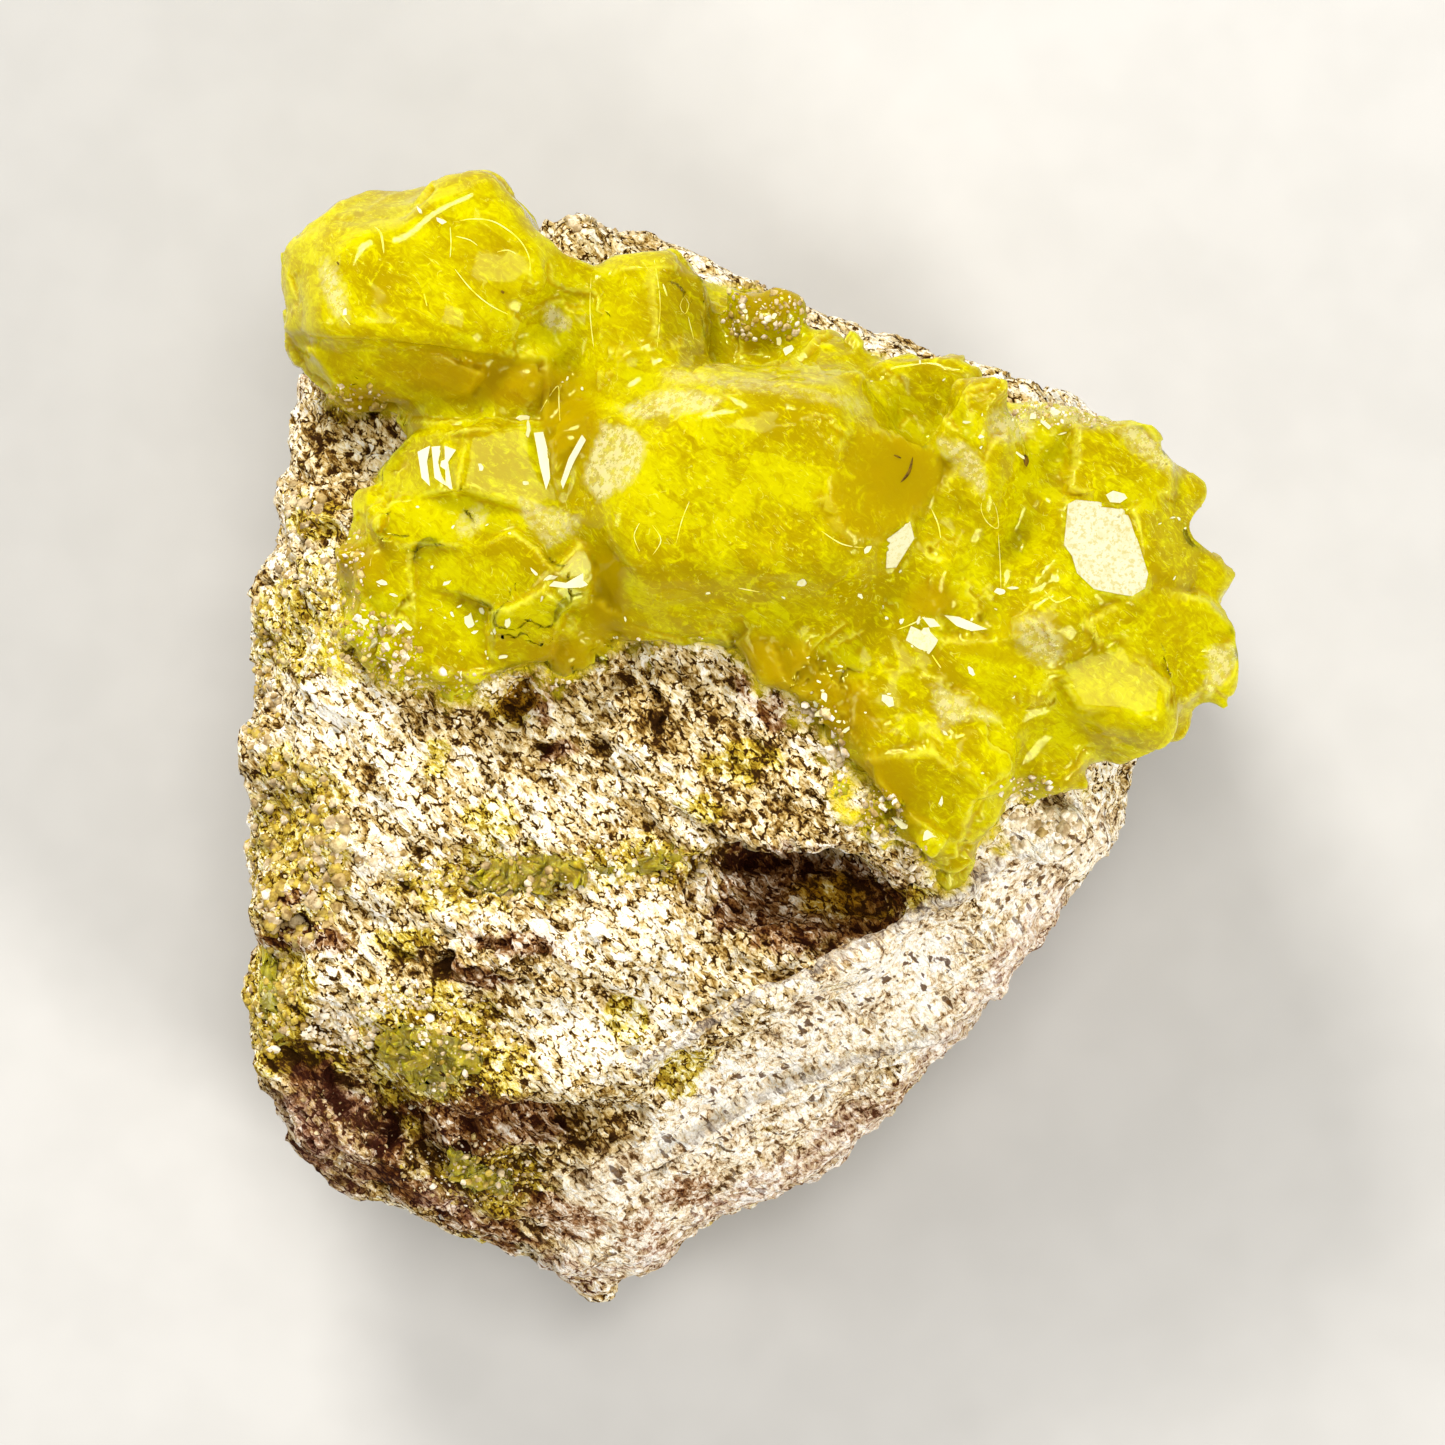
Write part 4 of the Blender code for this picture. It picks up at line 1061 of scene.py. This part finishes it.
# Where small broken faces carry painted glints: an oval seen from above and how many
CHIP_OVALS = [
    (470, 560, 90, 100, 16), (440, 640, 90, 36, 20), (360, 610, 30, 60, 12),
    (600, 600, 30, 60, 5), (745, 590, 90, 30, 3), (900, 600, 70, 60, 10),
    (1000, 640, 80, 60, 8), (1160, 560, 50, 90, 6), (1020, 430, 60, 30, 12),
    (840, 680, 60, 40, 8), (930, 780, 60, 60, 4), (760, 330, 60, 26, 8),
    (820, 690, 14, 34, 8), (840, 740, 8, 30, 6), (900, 840, 12, 20, 5),
    (560, 400, 60, 40, 5), (400, 280, 90, 80, 3), (900, 370, 60, 24, 5),
]
# Faces painted pale, as cloud and as painted highlight, in the same form
CLOUDY_AND_HIGHLIGHT_FACES = {
    "long_face": (0.8, [(939, 441), (959, 442), (971, 452), (981, 467), (985, 485),
                        (981, 492), (971, 476), (959, 464), (947, 455)]),
    "triangle": (0.75, [(935, 687), (953, 696), (975, 712), (996, 721), (975, 715),
                        (953, 721), (944, 733)]),
    "end_face": (0.8, [(1209, 648), (1232, 647), (1236, 656), (1228, 675), (1208, 694),
                       (1206, 686), (1212, 668)]),
    "oval": (1.0, [(603, 430), (621, 428), (636, 435), (642, 445), (641, 462), (630, 482),
                   (612, 490), (601, 500), (586, 482), (589, 469), (596, 445)]),
    "left_pale": (0.55, [(457, 532), (462, 517), (477, 507), (486, 512), (482, 524),
                        (468, 535)]),
}
# Broad faces of the left cluster, each the top of a solid shard that reaches into the rock
SHARDS = [
    [(380, 474), (415, 438), (470, 436), (462, 495), (391, 503)],
    [(470, 436), (529, 428), (552, 478), (557, 499), (514, 511), (462, 495)],
    [(391, 503), (462, 495), (514, 511), (514, 534), (470, 552), (415, 550), (380, 531)],
    [(514, 511), (553, 520), (581, 544), (561, 566), (537, 550), (514, 534)],
    [(372, 554), (415, 550), (419, 590), (395, 596), (375, 580)],
    [(415, 550), (470, 552), (514, 534), (537, 550), (550, 576), (514, 608), (458, 596),
     (419, 590)],
    [(550, 576), (561, 566), (581, 546), (593, 566), (585, 600), (561, 608), (545, 592)],
    [(419, 592), (458, 598), (494, 613), (492, 665), (458, 670), (419, 655)],
    [(494, 613), (514, 608), (545, 592), (561, 608), (549, 655), (506, 668), (492, 662)],
]
# How deep the shards reach, and how much sulfur they keep above the rock
SHARD_DEPTH = 3.5
SHARD_COVER = 1.0
# The facet at the pointed end of the large central crystal
END_FACET = [(863, 426), (905, 440), (940, 456), (948, 468), (930, 495), (905, 520), (886, 540),
             (860, 540), (838, 528), (828, 500), (838, 470), (850, 440)]
# Broad clear faces, which are only ground flat
CLEAR_FACES = [
    [(1088, 622), (1151, 590), (1204, 600), (1230, 631), (1225, 666), (1186, 700), (1124, 693)],
    [(1079, 429), (1142, 429), (1170, 465), (1170, 492), (1128, 506), (1070, 487)],
    [(1151, 514), (1186, 500), (1200, 519), (1200, 559), (1177, 577), (1156, 568)],
    [(940, 640), (1016, 644), (1057, 666), (1034, 702), (996, 700), (950, 680)],
    [(1057, 666), (1120, 640), (1170, 690), (1151, 711), (1079, 707)],
    END_FACET,
    [(310, 350), (388, 350), (436, 358), (480, 374), (466, 392), (430, 402), (345, 386)],
    [(600, 276), (655, 270), (658, 340), (604, 346)],
    [(655, 270), (702, 280), (704, 336), (658, 340)],
    [(870, 760), (930, 750), (975, 790), (960, 840), (910, 810)],
]
# Places painted pale, as cloud and as painted highlight, on surfaces that stay as they are
CLOUDY_AND_HIGHLIGHT_PATCHES = {
    "crest": (0.8, [(624, 411), (652, 396), (667, 391), (700, 394), (720, 400), (710, 407),
                    (685, 411), (655, 413), (645, 418)]),
    "crest_line": (0.35, [(665, 372), (720, 376), (790, 386), (858, 402), (862, 408),
                          (790, 394), (720, 384), (668, 380)]),
    "shoulder": (1.0, [(548, 307), (557, 313), (570, 324), (554, 330), (547, 323)]),
    "left_streak": (0.6, [(520, 500), (580, 520), (572, 532), (548, 546), (528, 520)]),
}

# Faces painted a darker gold with crisp outlines: painted shade where a face turns from the light,
# over the deeper gold of its crystal
SHADE_AND_DEPTH_FACES = [
    (0.8, END_FACET),
    (0.3, [(286, 328), (331, 335), (388, 339), (425, 343), (453, 347), (500, 352), (530, 372),
           (500, 395), (430, 412), (345, 390), (300, 378)]),
    (0.9, [(541, 404), (585, 404), (578, 440), (565, 480), (552, 478), (545, 440)]),
    (1.0, [(583, 541), (600, 549), (617, 557), (625, 572), (608, 592), (594, 608), (596, 575)]),
    (0.8, [(494, 633), (522, 640), (545, 657), (537, 676), (506, 680)]),
    (0.7, [(585, 602), (626, 598), (640, 640), (600, 658), (575, 640)]),
    (0.7, [(375, 548), (388, 556), (384, 592), (350, 596), (342, 560)]),
    (0.5, [(930, 600), (980, 602), (1062, 640), (1040, 668), (960, 652)]),
    (0.4, [(1152, 566), (1180, 580), (1188, 640), (1160, 646)]),
    (0.4, [(1060, 700), (1110, 690), (1130, 730), (1080, 742)]),
    (0.3, [(612, 300), (652, 296), (654, 358), (604, 362)]),
    (0.3, [(452, 226), (500, 226), (524, 250), (516, 300), (480, 290), (452, 262)]),
    (0.6, [(756, 642), (800, 640), (838, 668), (800, 696), (770, 676)]),
    (0.5, [(640, 560), (700, 588), (690, 604), (650, 596)]),
    (0.5, [(860, 760), (900, 750), (930, 800), (916, 850), (880, 800)]),
    (0.5, [(530, 560), (548, 556), (556, 572), (540, 590)]),
]

# Fracture lines and painted glints, painted bright: points seen from above, and half width in
# millimetres
FRACTURES_AND_GLINTS = [
    ([(452, 223), (470, 219), (492, 221), (512, 233), (524, 246), (530, 262), (529, 280)], 0.035),
    ([(450, 226), (451, 243), (450, 258)], 0.03),
    ([(452, 265), (470, 288), (490, 305), (512, 316)], 0.03),
    ([(374, 226), (381, 234), (384, 254)], 0.06),
    ([(424, 294), (427, 306)], 0.04), ([(339, 311), (350, 325)], 0.05),
    ([(539, 414), (547, 400), (558, 386), (559, 404), (560, 424)], 0.03),
    ([(985, 494), (981, 508), (987, 522), (998, 528), (996, 508), (988, 495)], 0.025),
    ([(998, 530), (1000, 560), (1001, 592)], 0.025),
    ([(652, 248), (660, 300), (657, 350)], 0.025), ([(592, 262), (590, 310), (594, 350)], 0.025),
    ([(684, 296), (689, 304), (685, 314), (680, 306), (684, 297)], 0.025),
    ([(688, 316), (694, 340)], 0.025), ([(663, 284), (667, 296)], 0.07),
    ([(931, 508), (938, 524), (941, 540)], 0.04), ([(820, 530), (842, 544), (866, 548)], 0.035),
    ([(896, 630), (912, 624), (926, 616)], 0.035), ([(932, 655), (941, 668)], 0.045),
    ([(455, 236), (470, 240), (478, 246)], 0.025), ([(497, 252), (508, 250), (516, 254)], 0.03),
    ([(640, 522), (634, 536), (640, 552)], 0.025), ([(652, 525), (661, 540), (652, 556)], 0.025),
    ([(1044, 590), (1056, 602), (1072, 596)], 0.045),
    ([(690, 500), (682, 520), (676, 544)], 0.025), ([(738, 588), (760, 592)], 0.045),
]
INCLUSIONS = [
    ([(913, 456), (909, 472), (900, 483)], 0.09), ([(894, 455), (901, 458)], 0.07),
    ([(501, 291), (504, 293)], 0.11), ([(1024, 455), (1027, 466)], 0.28),
    ([(337, 262), (339, 265)], 0.08),
]


def close_gaps(mass, reach, spacing):
    """Fills the gaps between crystals that are narrower than twice this reach."""
    modify(mass, "REMESH", mode="VOXEL", voxel_size=spacing * MM)
    modify(mass, "DISPLACE", strength=reach * MM, mid_level=0.0)
    modify(mass, "REMESH", mode="VOXEL", voxel_size=spacing * MM)
    modify(mass, "SMOOTH", factor=0.5, iterations=1)
    modify(mass, "DISPLACE", strength=-reach * MM, mid_level=0.0)


def half_sunk(rng, place, normal, size, depths):
    """One of five crystal shapes, and a pose for it that leaves its top out of a surface."""
    axis = normal * 0.5 + Vector((rng.gauss(0, 1), rng.gauss(0, 1), rng.gauss(0, 0.6)))
    sunk = place - normal * size * rng.uniform(*depths)
    return rng.randrange(5), pose_at(sunk, axis.normalized(), rng.uniform(0, 6.3), (size,) * 3)


def steep_places(mass, rock_tree):
    """Where the mass's steep sides stand free of the rock, with the way they face."""
    found = []
    for face in mass.data.polygons:
        place = face.center / MM
        if abs(face.normal.z) < 0.4:
            near, normal, _, _ = rock_tree.find_nearest(place)
            u, v = pixels_of(np.array([place]))
            bare = u[0] < BARE_CORNER[0] and v[0] < BARE_CORNER[1]
            if (place - near).dot(normal) > 0.5 and not bare:
                found.append((place, face.normal.copy()))
    return found


def add_knobs(mass, rock_tree):
    """Small crystals half sunk in the mass, and in the rock at its edge."""
    rng = random.Random(23)
    patterns = [sliced_crystal(seed, 0.6) for seed in range(5)]
    poses = []
    rows = [(tree_of(mass), *row) for row in KNOBS] + [(rock_tree, *row) for row in BORDER_KNOBS]
    for tree, oval, (least, most) in rows:
        for place, normal in scattered(rng, tree, [oval]):
            poses.append(half_sunk(rng, place, normal, rng.uniform(least, most), (0.65, 0.9)))
    for place, normal in rng.sample(steep_places(mass, rock_tree), SIDE_KNOBS):
        poses.append(half_sunk(rng, place, normal, rng.uniform(*SIDE_KNOB_SIZES), (0.9, 1.05)))
    knobs = copies("knobs", patterns, poses)
    return join("crystal_mass", [mass, knobs])


def soften(mass, ovals):
    """Melts the edges of the large crystals, and only takes the steps off the rest."""
    calm = spots(*pixels_of(places_of(mass.data)), ovals)
    calm *= smooth_step(0.05, 0.45, normals_of(mass.data)[:, 2])
    group = mass.vertex_groups.new(name="calm")
    for share in range(1, 11):
        found = np.nonzero(np.round(10 * calm) == share)[0]
        group.add(found.tolist(), share / 10, "REPLACE")
    modify(mass, "SMOOTH", factor=0.5, iterations=140, vertex_group="calm")
    modify(mass, "SMOOTH", factor=0.5, iterations=1)
    mass.vertex_groups.clear()


# The crease across the upper left crystal, under which its face steps back
CREASE = [(270, 326), (331, 335), (388, 339), (425, 343), (453, 347), (500, 352), (545, 356)]
CREASE_DEPTH = 0.35


def crystal_relief(mass):
    """Broad faint steps on the crystals, and small flat faces where small ones crowd."""
    mesh = mass.data
    places, normals = places_of(mesh), normals_of(mesh)
    u, v = pixels_of(places)
    side = 1.0 - smooth_step(0.05, 0.45, normals[:, 2])
    calm = spots(u, v, SMOOTH_CRYSTALS) * (1.0 - side)
    busy = np.maximum(0.45 * spots(u, v, BUSY_ZONES), 0.35 * side)
    swell = np.array([noise.fractal(Vector(place) / 3.0, 1.0, 2.0, 2) for place in places])
    broad = faceted(places, 3.6, 0.34, 0.12)
    small = faceted(places, 2.6, 0.85, 0.30) + 0.3 * faceted(places, 1.3, 0.70, 0.35)
    height = 0.14 * swell + (1.0 - 0.9 * calm) * (broad - broad.mean())
    height += busy * (1.0 - calm) * (small - small.mean())
    step_down = smooth_step(0.0, 9.0, v - np.interp(u, *zip(*CREASE))) * (u < CREASE[-1][0])
    height -= CREASE_DEPTH * step_down * (v < 420) * (normals[:, 2] > 0.0)
    set_places(mesh, places + normals * height[:, None])


def fitted_plane(tree, outline):
    """The plane that best fits a polygon's corners, raised so that few stand out of it."""
    hits = [drop(tree, u, v)[0] for u, v in outline]
    hits = np.array([hit for hit in hits if hit is not None])
    middle = hits.mean(axis=0)
    normal = np.linalg.svd(hits - middle)[2][2]
    normal *= np.sign(normal[2])
    if normal[2] < 0.5:
        normal += np.array((0.0, 0.0, 1.0))
        normal /= np.linalg.norm(normal)
    middle += normal * np.quantile((hits - middle) @ normal, PLATEAU)
    return Vector(middle), Vector(normal)


def face_plane(tree, outline):
    """The middle and normal of the surface under a polygon that is seen from above."""
    hits = [drop(tree, u, v) for u, v in outline]
    hits = [hit for hit in hits if hit[0] is not None]
    middle = sum((place for place, _ in hits), Vector()) / len(hits)
    normal = sum((normal for _, normal in hits), Vector()).normalized()
    if normal.z < 0.35:
        normal = (normal + Vector((0, 0, 1))).normalized()
    return middle, normal


def creases(mesh):
    """How sharply the surface bends at each corner: above 0 on edges, below 0 in folds."""
    places, normals = places_of(mesh), normals_of(mesh)
    ends = np.empty(len(mesh.edges) * 2, np.int32)
    mesh.edges.foreach_get("vertices", ends)
    bend, count = np.zeros(len(places)), np.zeros(len(places))
    for here, there in (ends.reshape(-1, 2).T, ends.reshape(-1, 2).T[::-1]):
        way = places[there] - places[here]
        way /= np.linalg.norm(way, axis=1)[:, None] + 1e-9
        np.add.at(bend, here, -(way * normals[here]).sum(axis=1))
        np.add.at(count, here, 1.0)
    return bend / np.maximum(count, 1.0)


def flatten_faces(mass, shards):
    """Grinds the mass flat under each broad face, and returns the etched faces' planes."""
    tree = tree_of(mass)
    places = places_of(mass.data)
    seen = (*pixels_of(places), normals_of(mass.data)[:, 2] > 0.0)
    for outline, plane in zip(SHARDS, shards):
        grind(places, seen, outline, *plane, tallest=TALLEST_KNOB)
    for outline in CLEAR_FACES:
        grind(places, seen, outline, *fitted_plane(tree, outline))
    set_places(mass.data, places)
    tree = tree_of(mass)
    planes = {}
    for name, (*_, outline) in (FROSTED_AND_HIGHLIGHT_FACES | CLOUDY_AND_HIGHLIGHT_FACES).items():
        planes[name] = face_plane(tree, outline)
        grind(places, seen, outline, *planes[name])
    set_places(mass.data, places)
    return planes


def grind(places, seen, outline, middle, normal, tallest=GRINDING_REACH):
    """Moves what lies near a plane, under a polygon, straight up or down onto that plane."""
    u, v, facing = seen
    within, far = inside(u, v, outline)
    share = fade(within, far, GROUND_EDGE)
    above = (places - np.array(middle)) @ np.array(normal)
    share *= (above > -GRINDING_REACH) & (above < np.where(within, tallest, GRINDING_REACH))
    share *= facing | (within & (above > 0.0) & (tallest > GRINDING_REACH))
    places[:, 2] -= share * above / normal.z


def small_chips(tree):
    """Seeded broken faces painted bright as glints, in the form of the plates below."""
    rng = random.Random(41)
    chips = []
    for u, v, half_u, half_v, count in CHIP_OVALS:
        for _ in range(count):
            far, around = math.sqrt(rng.random()), rng.uniform(0, math.tau)
            middle_u = u + half_u * far * math.cos(around)
            middle_v = v + half_v * far * math.sin(around)
            long, turn = 1.8 + 8.0 * rng.random() ** 3, rng.uniform(0, math.pi)
            broad, corners = long * rng.uniform(0.25, 0.7), rng.randint(5, 8)
            outline = []
            for corner in range(corners):
                angle = math.tau * (corner + rng.uniform(-0.3, 0.3)) / corners
                reach = rng.uniform(0.55, 1.15)
                along = long * reach * math.cos(angle)
                across = broad * reach * math.sin(angle)
                outline.append((middle_u + along * math.cos(turn) - across * math.sin(turn),
                                middle_v + along * math.sin(turn) + across * math.cos(turn)))
            place, normal = drop(tree, middle_u, middle_v)
            if place is not None and normal.z > 0.35:
                chips.append((1.0, rng.uniform(0.3, 1.0), outline, place, normal))
    return chips


def slabs(name, plates):
    """Flat-sided pieces: each an outline, its plane, and how far its two ends lie off that."""
    corners, faces = [], []
    for outline, middle, normal, top, bottom in plates:
        first, count = len(corners), len(outline)
        for lift in (top, bottom):
            for u, v in outline:
                way = sight(u, v)
                reach = (middle - CAMERA).dot(normal) / way.dot(normal)
                corners.append((CAMERA + way * reach + lift) * MM)
        faces.append([first + side for side in range(count)])
        faces.append([first + count + side for side in reversed(range(count))])
        for side in range(count):
            after = (side + 1) % count
            faces.append([first + side, first + count + side, first + count + after,
                          first + after])
    mesh = bpy.data.meshes.new(name)
    mesh.from_pydata(corners, [], faces)
    made = bpy.data.objects.new(name, mesh)
    bpy.context.scene.collection.objects.link(made)
    work_on(made)
    bpy.ops.object.mode_set(mode="EDIT")
    bpy.ops.mesh.select_all(action="SELECT")
    bpy.ops.mesh.quads_convert_to_tris()
    bpy.ops.mesh.normals_make_consistent(inside=False)
    bpy.ops.object.mode_set(mode="OBJECT")
    return made


def add_shards(mass, rock_tree):
    """Stands solid shards in the left cluster, and returns the planes of their tops."""
    tree = tree_of(mass)
    planes = []
    for outline in SHARDS:
        middle, normal = fitted_plane(tree, outline)
        rock = [drop(rock_tree, u, v)[0] for u, v in [*outline, np.mean(outline, axis=0)]]
        highest = max(((place - middle).dot(normal) for place in rock if place is not None),
                      default=-SHARD_COVER)
        lift = min(SHARD_COVER, max(0.0, highest + SHARD_COVER))
        planes.append((middle + normal * lift, normal))
    down = Vector((0.0, 0.0, -SHARD_DEPTH))
    shards = slabs("shards", [(outline, *plane, Vector(), down)
                              for outline, plane in zip(SHARDS, planes)])
    return join("crystal_mass", [mass, shards]), planes


def make_frosted_and_highlight_faces(tree, planes, material):
    """Thin plates with crisp outlines that lie on the flattened crystal faces, painted pale as
    frost, painted highlight and painted glints.
    """
    plates, frost_and_highlight = [], []
    chips = [(*FROSTED_AND_HIGHLIGHT_FACES[name], *planes[name]) for name in FROSTED_AND_HIGHLIGHT_FACES] + small_chips(tree)
    for thickness, glint, outline, middle, normal in chips:
        plates.append((outline, middle, normal, normal * 0.025, normal * -0.30))
        frost_and_highlight += [(thickness, glint)] * (2 * len(outline))
    made = slabs("frosted_and_highlight_faces", plates)
    paint(made.data, "zone", *np.array(frost_and_highlight).T, 0.0)
    keep_in_box(made)
    finish_piece(made, material)
    bpy.ops.object.shade_flat()


def smooth_path(points, spacing=4.0):
    """Close points along a smooth curve through the given ones."""
    path = []
    ends = [points[0]] + list(points) + [points[-1]]
    for before, start, end, after in zip(ends, ends[1:], ends[2:], ends[3:]):
        steps = max(1, round(math.dist(start, end) / spacing))
        for part in (index / steps for index in range(steps)):
            path.append([
                0.5 * (2 * b + (c - a) * part + (2 * a - 5 * b + 4 * c - d) * part ** 2
                       + (3 * b - a - 3 * c + d) * part ** 3)
                for a, b, c, d in zip(before, start, end, after)
            ])
    return path + [points[-1]]


def drawn_lines(name, tree, strokes, material):
    """Thin tapering threads that lie in the surface."""
    curve = bpy.data.curves.new(name, "CURVE")
    curve.dimensions = "3D"
    curve.bevel_depth = 1.0 * MM
    curve.bevel_resolution = 1
    for points, half_width in strokes:
        hits = [drop(tree, u, v) for u, v in smooth_path(points)]
        hits = [hit for hit in hits if hit[0] is not None]
        spline = curve.splines.new("POLY")
        spline.points.add(len(hits) - 1)
        for index, (place, normal) in enumerate(hits):
            point = spline.points[index]
            point.co = (*((place - normal * half_width * 0.4) * MM), 1.0)
            swelling = math.sin(math.pi * (index + 0.5) / len(hits))
            point.radius = half_width * (0.25 + 0.75 * swelling)
    made = bpy.data.objects.new(name, curve)
    bpy.context.scene.collection.objects.link(made)
    work_on(made)
    bpy.ops.object.convert(target="MESH")
    keep_in_box(made)
    finish_piece(made, material)
    return made


def seat_on(obj, tree):
    """Lets the underside of a piece grow into the rock that it stands on."""
    places = places_of(obj.data)
    for index, place in enumerate(places):
        near, normal, _, _ = tree.find_nearest(Vector(place), 3.0)
        if near is None:
            continue
        above = (Vector(place) - near).dot(normal)
        if above < SEAT_REACH:
            share = 1.0 - max(0.0, above) / SEAT_REACH
            places[index] = Vector(place) - normal * share * (SEAT_DEPTH + max(0.0, above))
    set_places(obj.data, places)


def lower_on(obj, tree, share):
    """Brings a piece's height above the rock down to a share of itself."""
    places = places_of(obj.data)
    for index, place in enumerate(places):
        near, normal, _, _ = tree.find_nearest(Vector(place), 4.0)
        if near is not None:
            above = (Vector(place) - near).dot(normal)
            places[index] = Vector(place) - normal * max(0.0, above) * (1.0 - share)
    set_places(obj.data, places)


def make_crystals(rock, material):
    """The crystal mass, and the planes of its etched faces."""
    mass = copy_of_node("sulfur_crystals", "crystal_mass")
    close_gaps(mass, GAP_REACH, GAP_SPACING)
    rock_tree = tree_of(rock)
    mass, shards = add_shards(add_knobs(mass, rock_tree), rock_tree)
    close_gaps(mass, PIT_REACH, CRYSTAL_SPACING)
    modify(mass, "REMESH", mode="VOXEL", voxel_size=CRYSTAL_SPACING * MM)
    soften(mass, SMOOTH_CRYSTALS)
    crystal_relief(mass)
    modify(mass, "DECIMATE", ratio=CRYSTAL_SHARE)
    planes = flatten_faces(mass, shards)
    seat_on(mass, rock_tree)
    keep_in_box(mass)
    u, v = pixels_of(places_of(mass.data))
    facing = normals_of(mass.data)[:, 2] > 0.0
    amber = 0.75 * spots(u, v, AMBER_ZONES)
    # Pale faces and ovals: cloud and painted highlight
    pale = np.maximum(0.8 * spots(u, v, PALE_ZONES),
                      in_polygons(u, v, (CLOUDY_AND_HIGHLIGHT_FACES | CLOUDY_AND_HIGHLIGHT_PATCHES).values()))
    # Darker faces: painted shade, with deeper gold
    deep = in_polygons(u, v, SHADE_AND_DEPTH_FACES)
    paint(mass.data, "zone", amber * facing, pale * facing, deep * facing)
    bend = creases(mass.data)
    # Painted highlight on convex edges and painted shade in concave folds
    paint(mass.data, "edge", smooth_step(0.10, 0.26, bend), smooth_step(0.10, 0.26, -bend), 0.0)
    finish_piece(mass, material, "sulfur_crystals")
    return mass, planes


# The grid that a seam is remeshed on, and the share of its height that is kept
SEAM_SPACING = 0.14
SEAM_SHARE = 0.4
SEAMS = ["sulfur_vein_middle", "sulfur_vein_right", "sulfur_patch_left_edge",
         "sulfur_patch_lower", "sulfur_patch_foot"]
BRIGHT_SEAM = "sulfur_patch_left_edge"


def make_seam(name, tree, material):
    """A low granular patch of sulfur where a vein comes out of the rock."""
    seam = copy_of_node(name, name.replace("sulfur", "crusted"))
    modify(seam, "REMESH", mode="VOXEL", voxel_size=SEAM_SPACING * MM)
    modify(seam, "SMOOTH", factor=0.5, iterations=6)
    mesh = seam.data
    places, normals = places_of(mesh), normals_of(mesh)
    height = np.zeros(len(places))
    for index, place in enumerate(places):
        at = Vector(place)
        near = noise.voronoi(at / 0.75)[0]
        height[index] = 0.30 * (near[1] - near[0]) + 0.5 * noise.fractal(at / 1.4, 1, 2, 3) - 0.25
    set_places(mesh, places + normals * height[:, None])
    seat_on(seam, tree)
    lower_on(seam, tree, SEAM_SHARE)
    keep_in_box(seam)
    paint(mesh, "zone", 0.15, 0.10, 0.0)
    finish_piece(seam, material, name)
    return seam


# Studio


def area_light(name, at, size, power, colour=(1.0, 1.0, 1.0)):
    """A soft light that faces the specimen, in metres and watts."""
    bpy.ops.object.light_add(type="AREA", location=at)
    light = bpy.context.object
    light.name = name
    light.data.shape = "RECTANGLE"
    light.data.size, light.data.size_y = size
    light.data.energy = power
    light.data.color = colour
    aim = Vector((0.0, 0.0, 0.015)) - Vector(at)
    light.rotation_euler = aim.to_track_quat("-Z", "Y").to_euler()


def build_studio():
    """A pale floor, four soft lights and the camera."""
    deselect()
    bpy.ops.mesh.primitive_grid_add(x_subdivisions=8, y_subdivisions=8, size=3.0)
    floor = bpy.context.object
    floor.name = "floor"
    floor.data.materials.append(pale_floor())

    world = bpy.data.worlds.new("studio")
    bpy.context.scene.world = world
    world.use_nodes = True
    background = world.node_tree.nodes["Background"]
    background.inputs["Color"].default_value = (1.0, 0.99, 0.97, 1.0)
    background.inputs["Strength"].default_value = 0.30

    area_light("key", (-0.14, 0.36, 0.28), (0.14, 0.10), 2.5, (1.0, 0.97, 0.92))
    area_light("overhead", (0.04, 0.10, 0.46), (0.18, 0.18), 1.0, (1.0, 0.97, 0.93))
    area_light("side", (0.32, -0.26, 0.26), (0.16, 0.16), 2.2, (1.0, 0.97, 0.93))
    area_light("left", (-0.40, 0.00, 0.20), (0.12, 0.16), 0.7, (1.0, 0.97, 0.93))

    bpy.ops.object.camera_add(location=CAMERA * MM, rotation=(0.0, 0.0, 0.0))
    camera = bpy.context.object
    camera.data.sensor_width = SENSOR
    camera.data.lens = SENSOR * (CAMERA.z - SIGHT_PLANE) / (FRAME_WIDTH * PIXEL)
    camera.data.clip_start = 0.01
    bpy.context.scene.camera = camera
    bpy.context.scene.view_settings.view_transform = "Standard"


def main():
    rock, stains = make_rock(tree_of(frame["nodes"]["sulfur_crystals"]))
    mass, planes = make_crystals(rock, sulfur_glass("sulfur_glass", 6000.0, 0.36, *CLEAR_SULFUR))
    mass_tree = tree_of(mass)
    make_frosted_and_highlight_faces(mass_tree, planes, frosted_and_highlight_sulfur())
    drawn_lines("fracture_and_glint_lines", mass_tree, FRACTURES_AND_GLINTS, bright_fracture_and_glint())
    drawn_lines("inclusions", mass_tree, INCLUSIONS, dark_inclusion())
    finish_rock(rock, stains, mass_tree, granular_rock())
    rock_tree = tree_of(rock)
    crusted = sulfur_glass("crusted_sulfur", 4000.0, 0.2, *CRUSTED_SULFUR)
    bright_crust = sulfur_glass("bright_crust", 4000.0, 0.2, *BRIGHT_CRUST)
    seam_trees = [
        tree_of(make_seam(name, rock_tree, bright_crust if name == BRIGHT_SEAM else crusted))
        for name in SEAMS
    ]
    make_grains([rock_tree, mass_tree] + seam_trees, grain_stone())
    build_studio()


main()
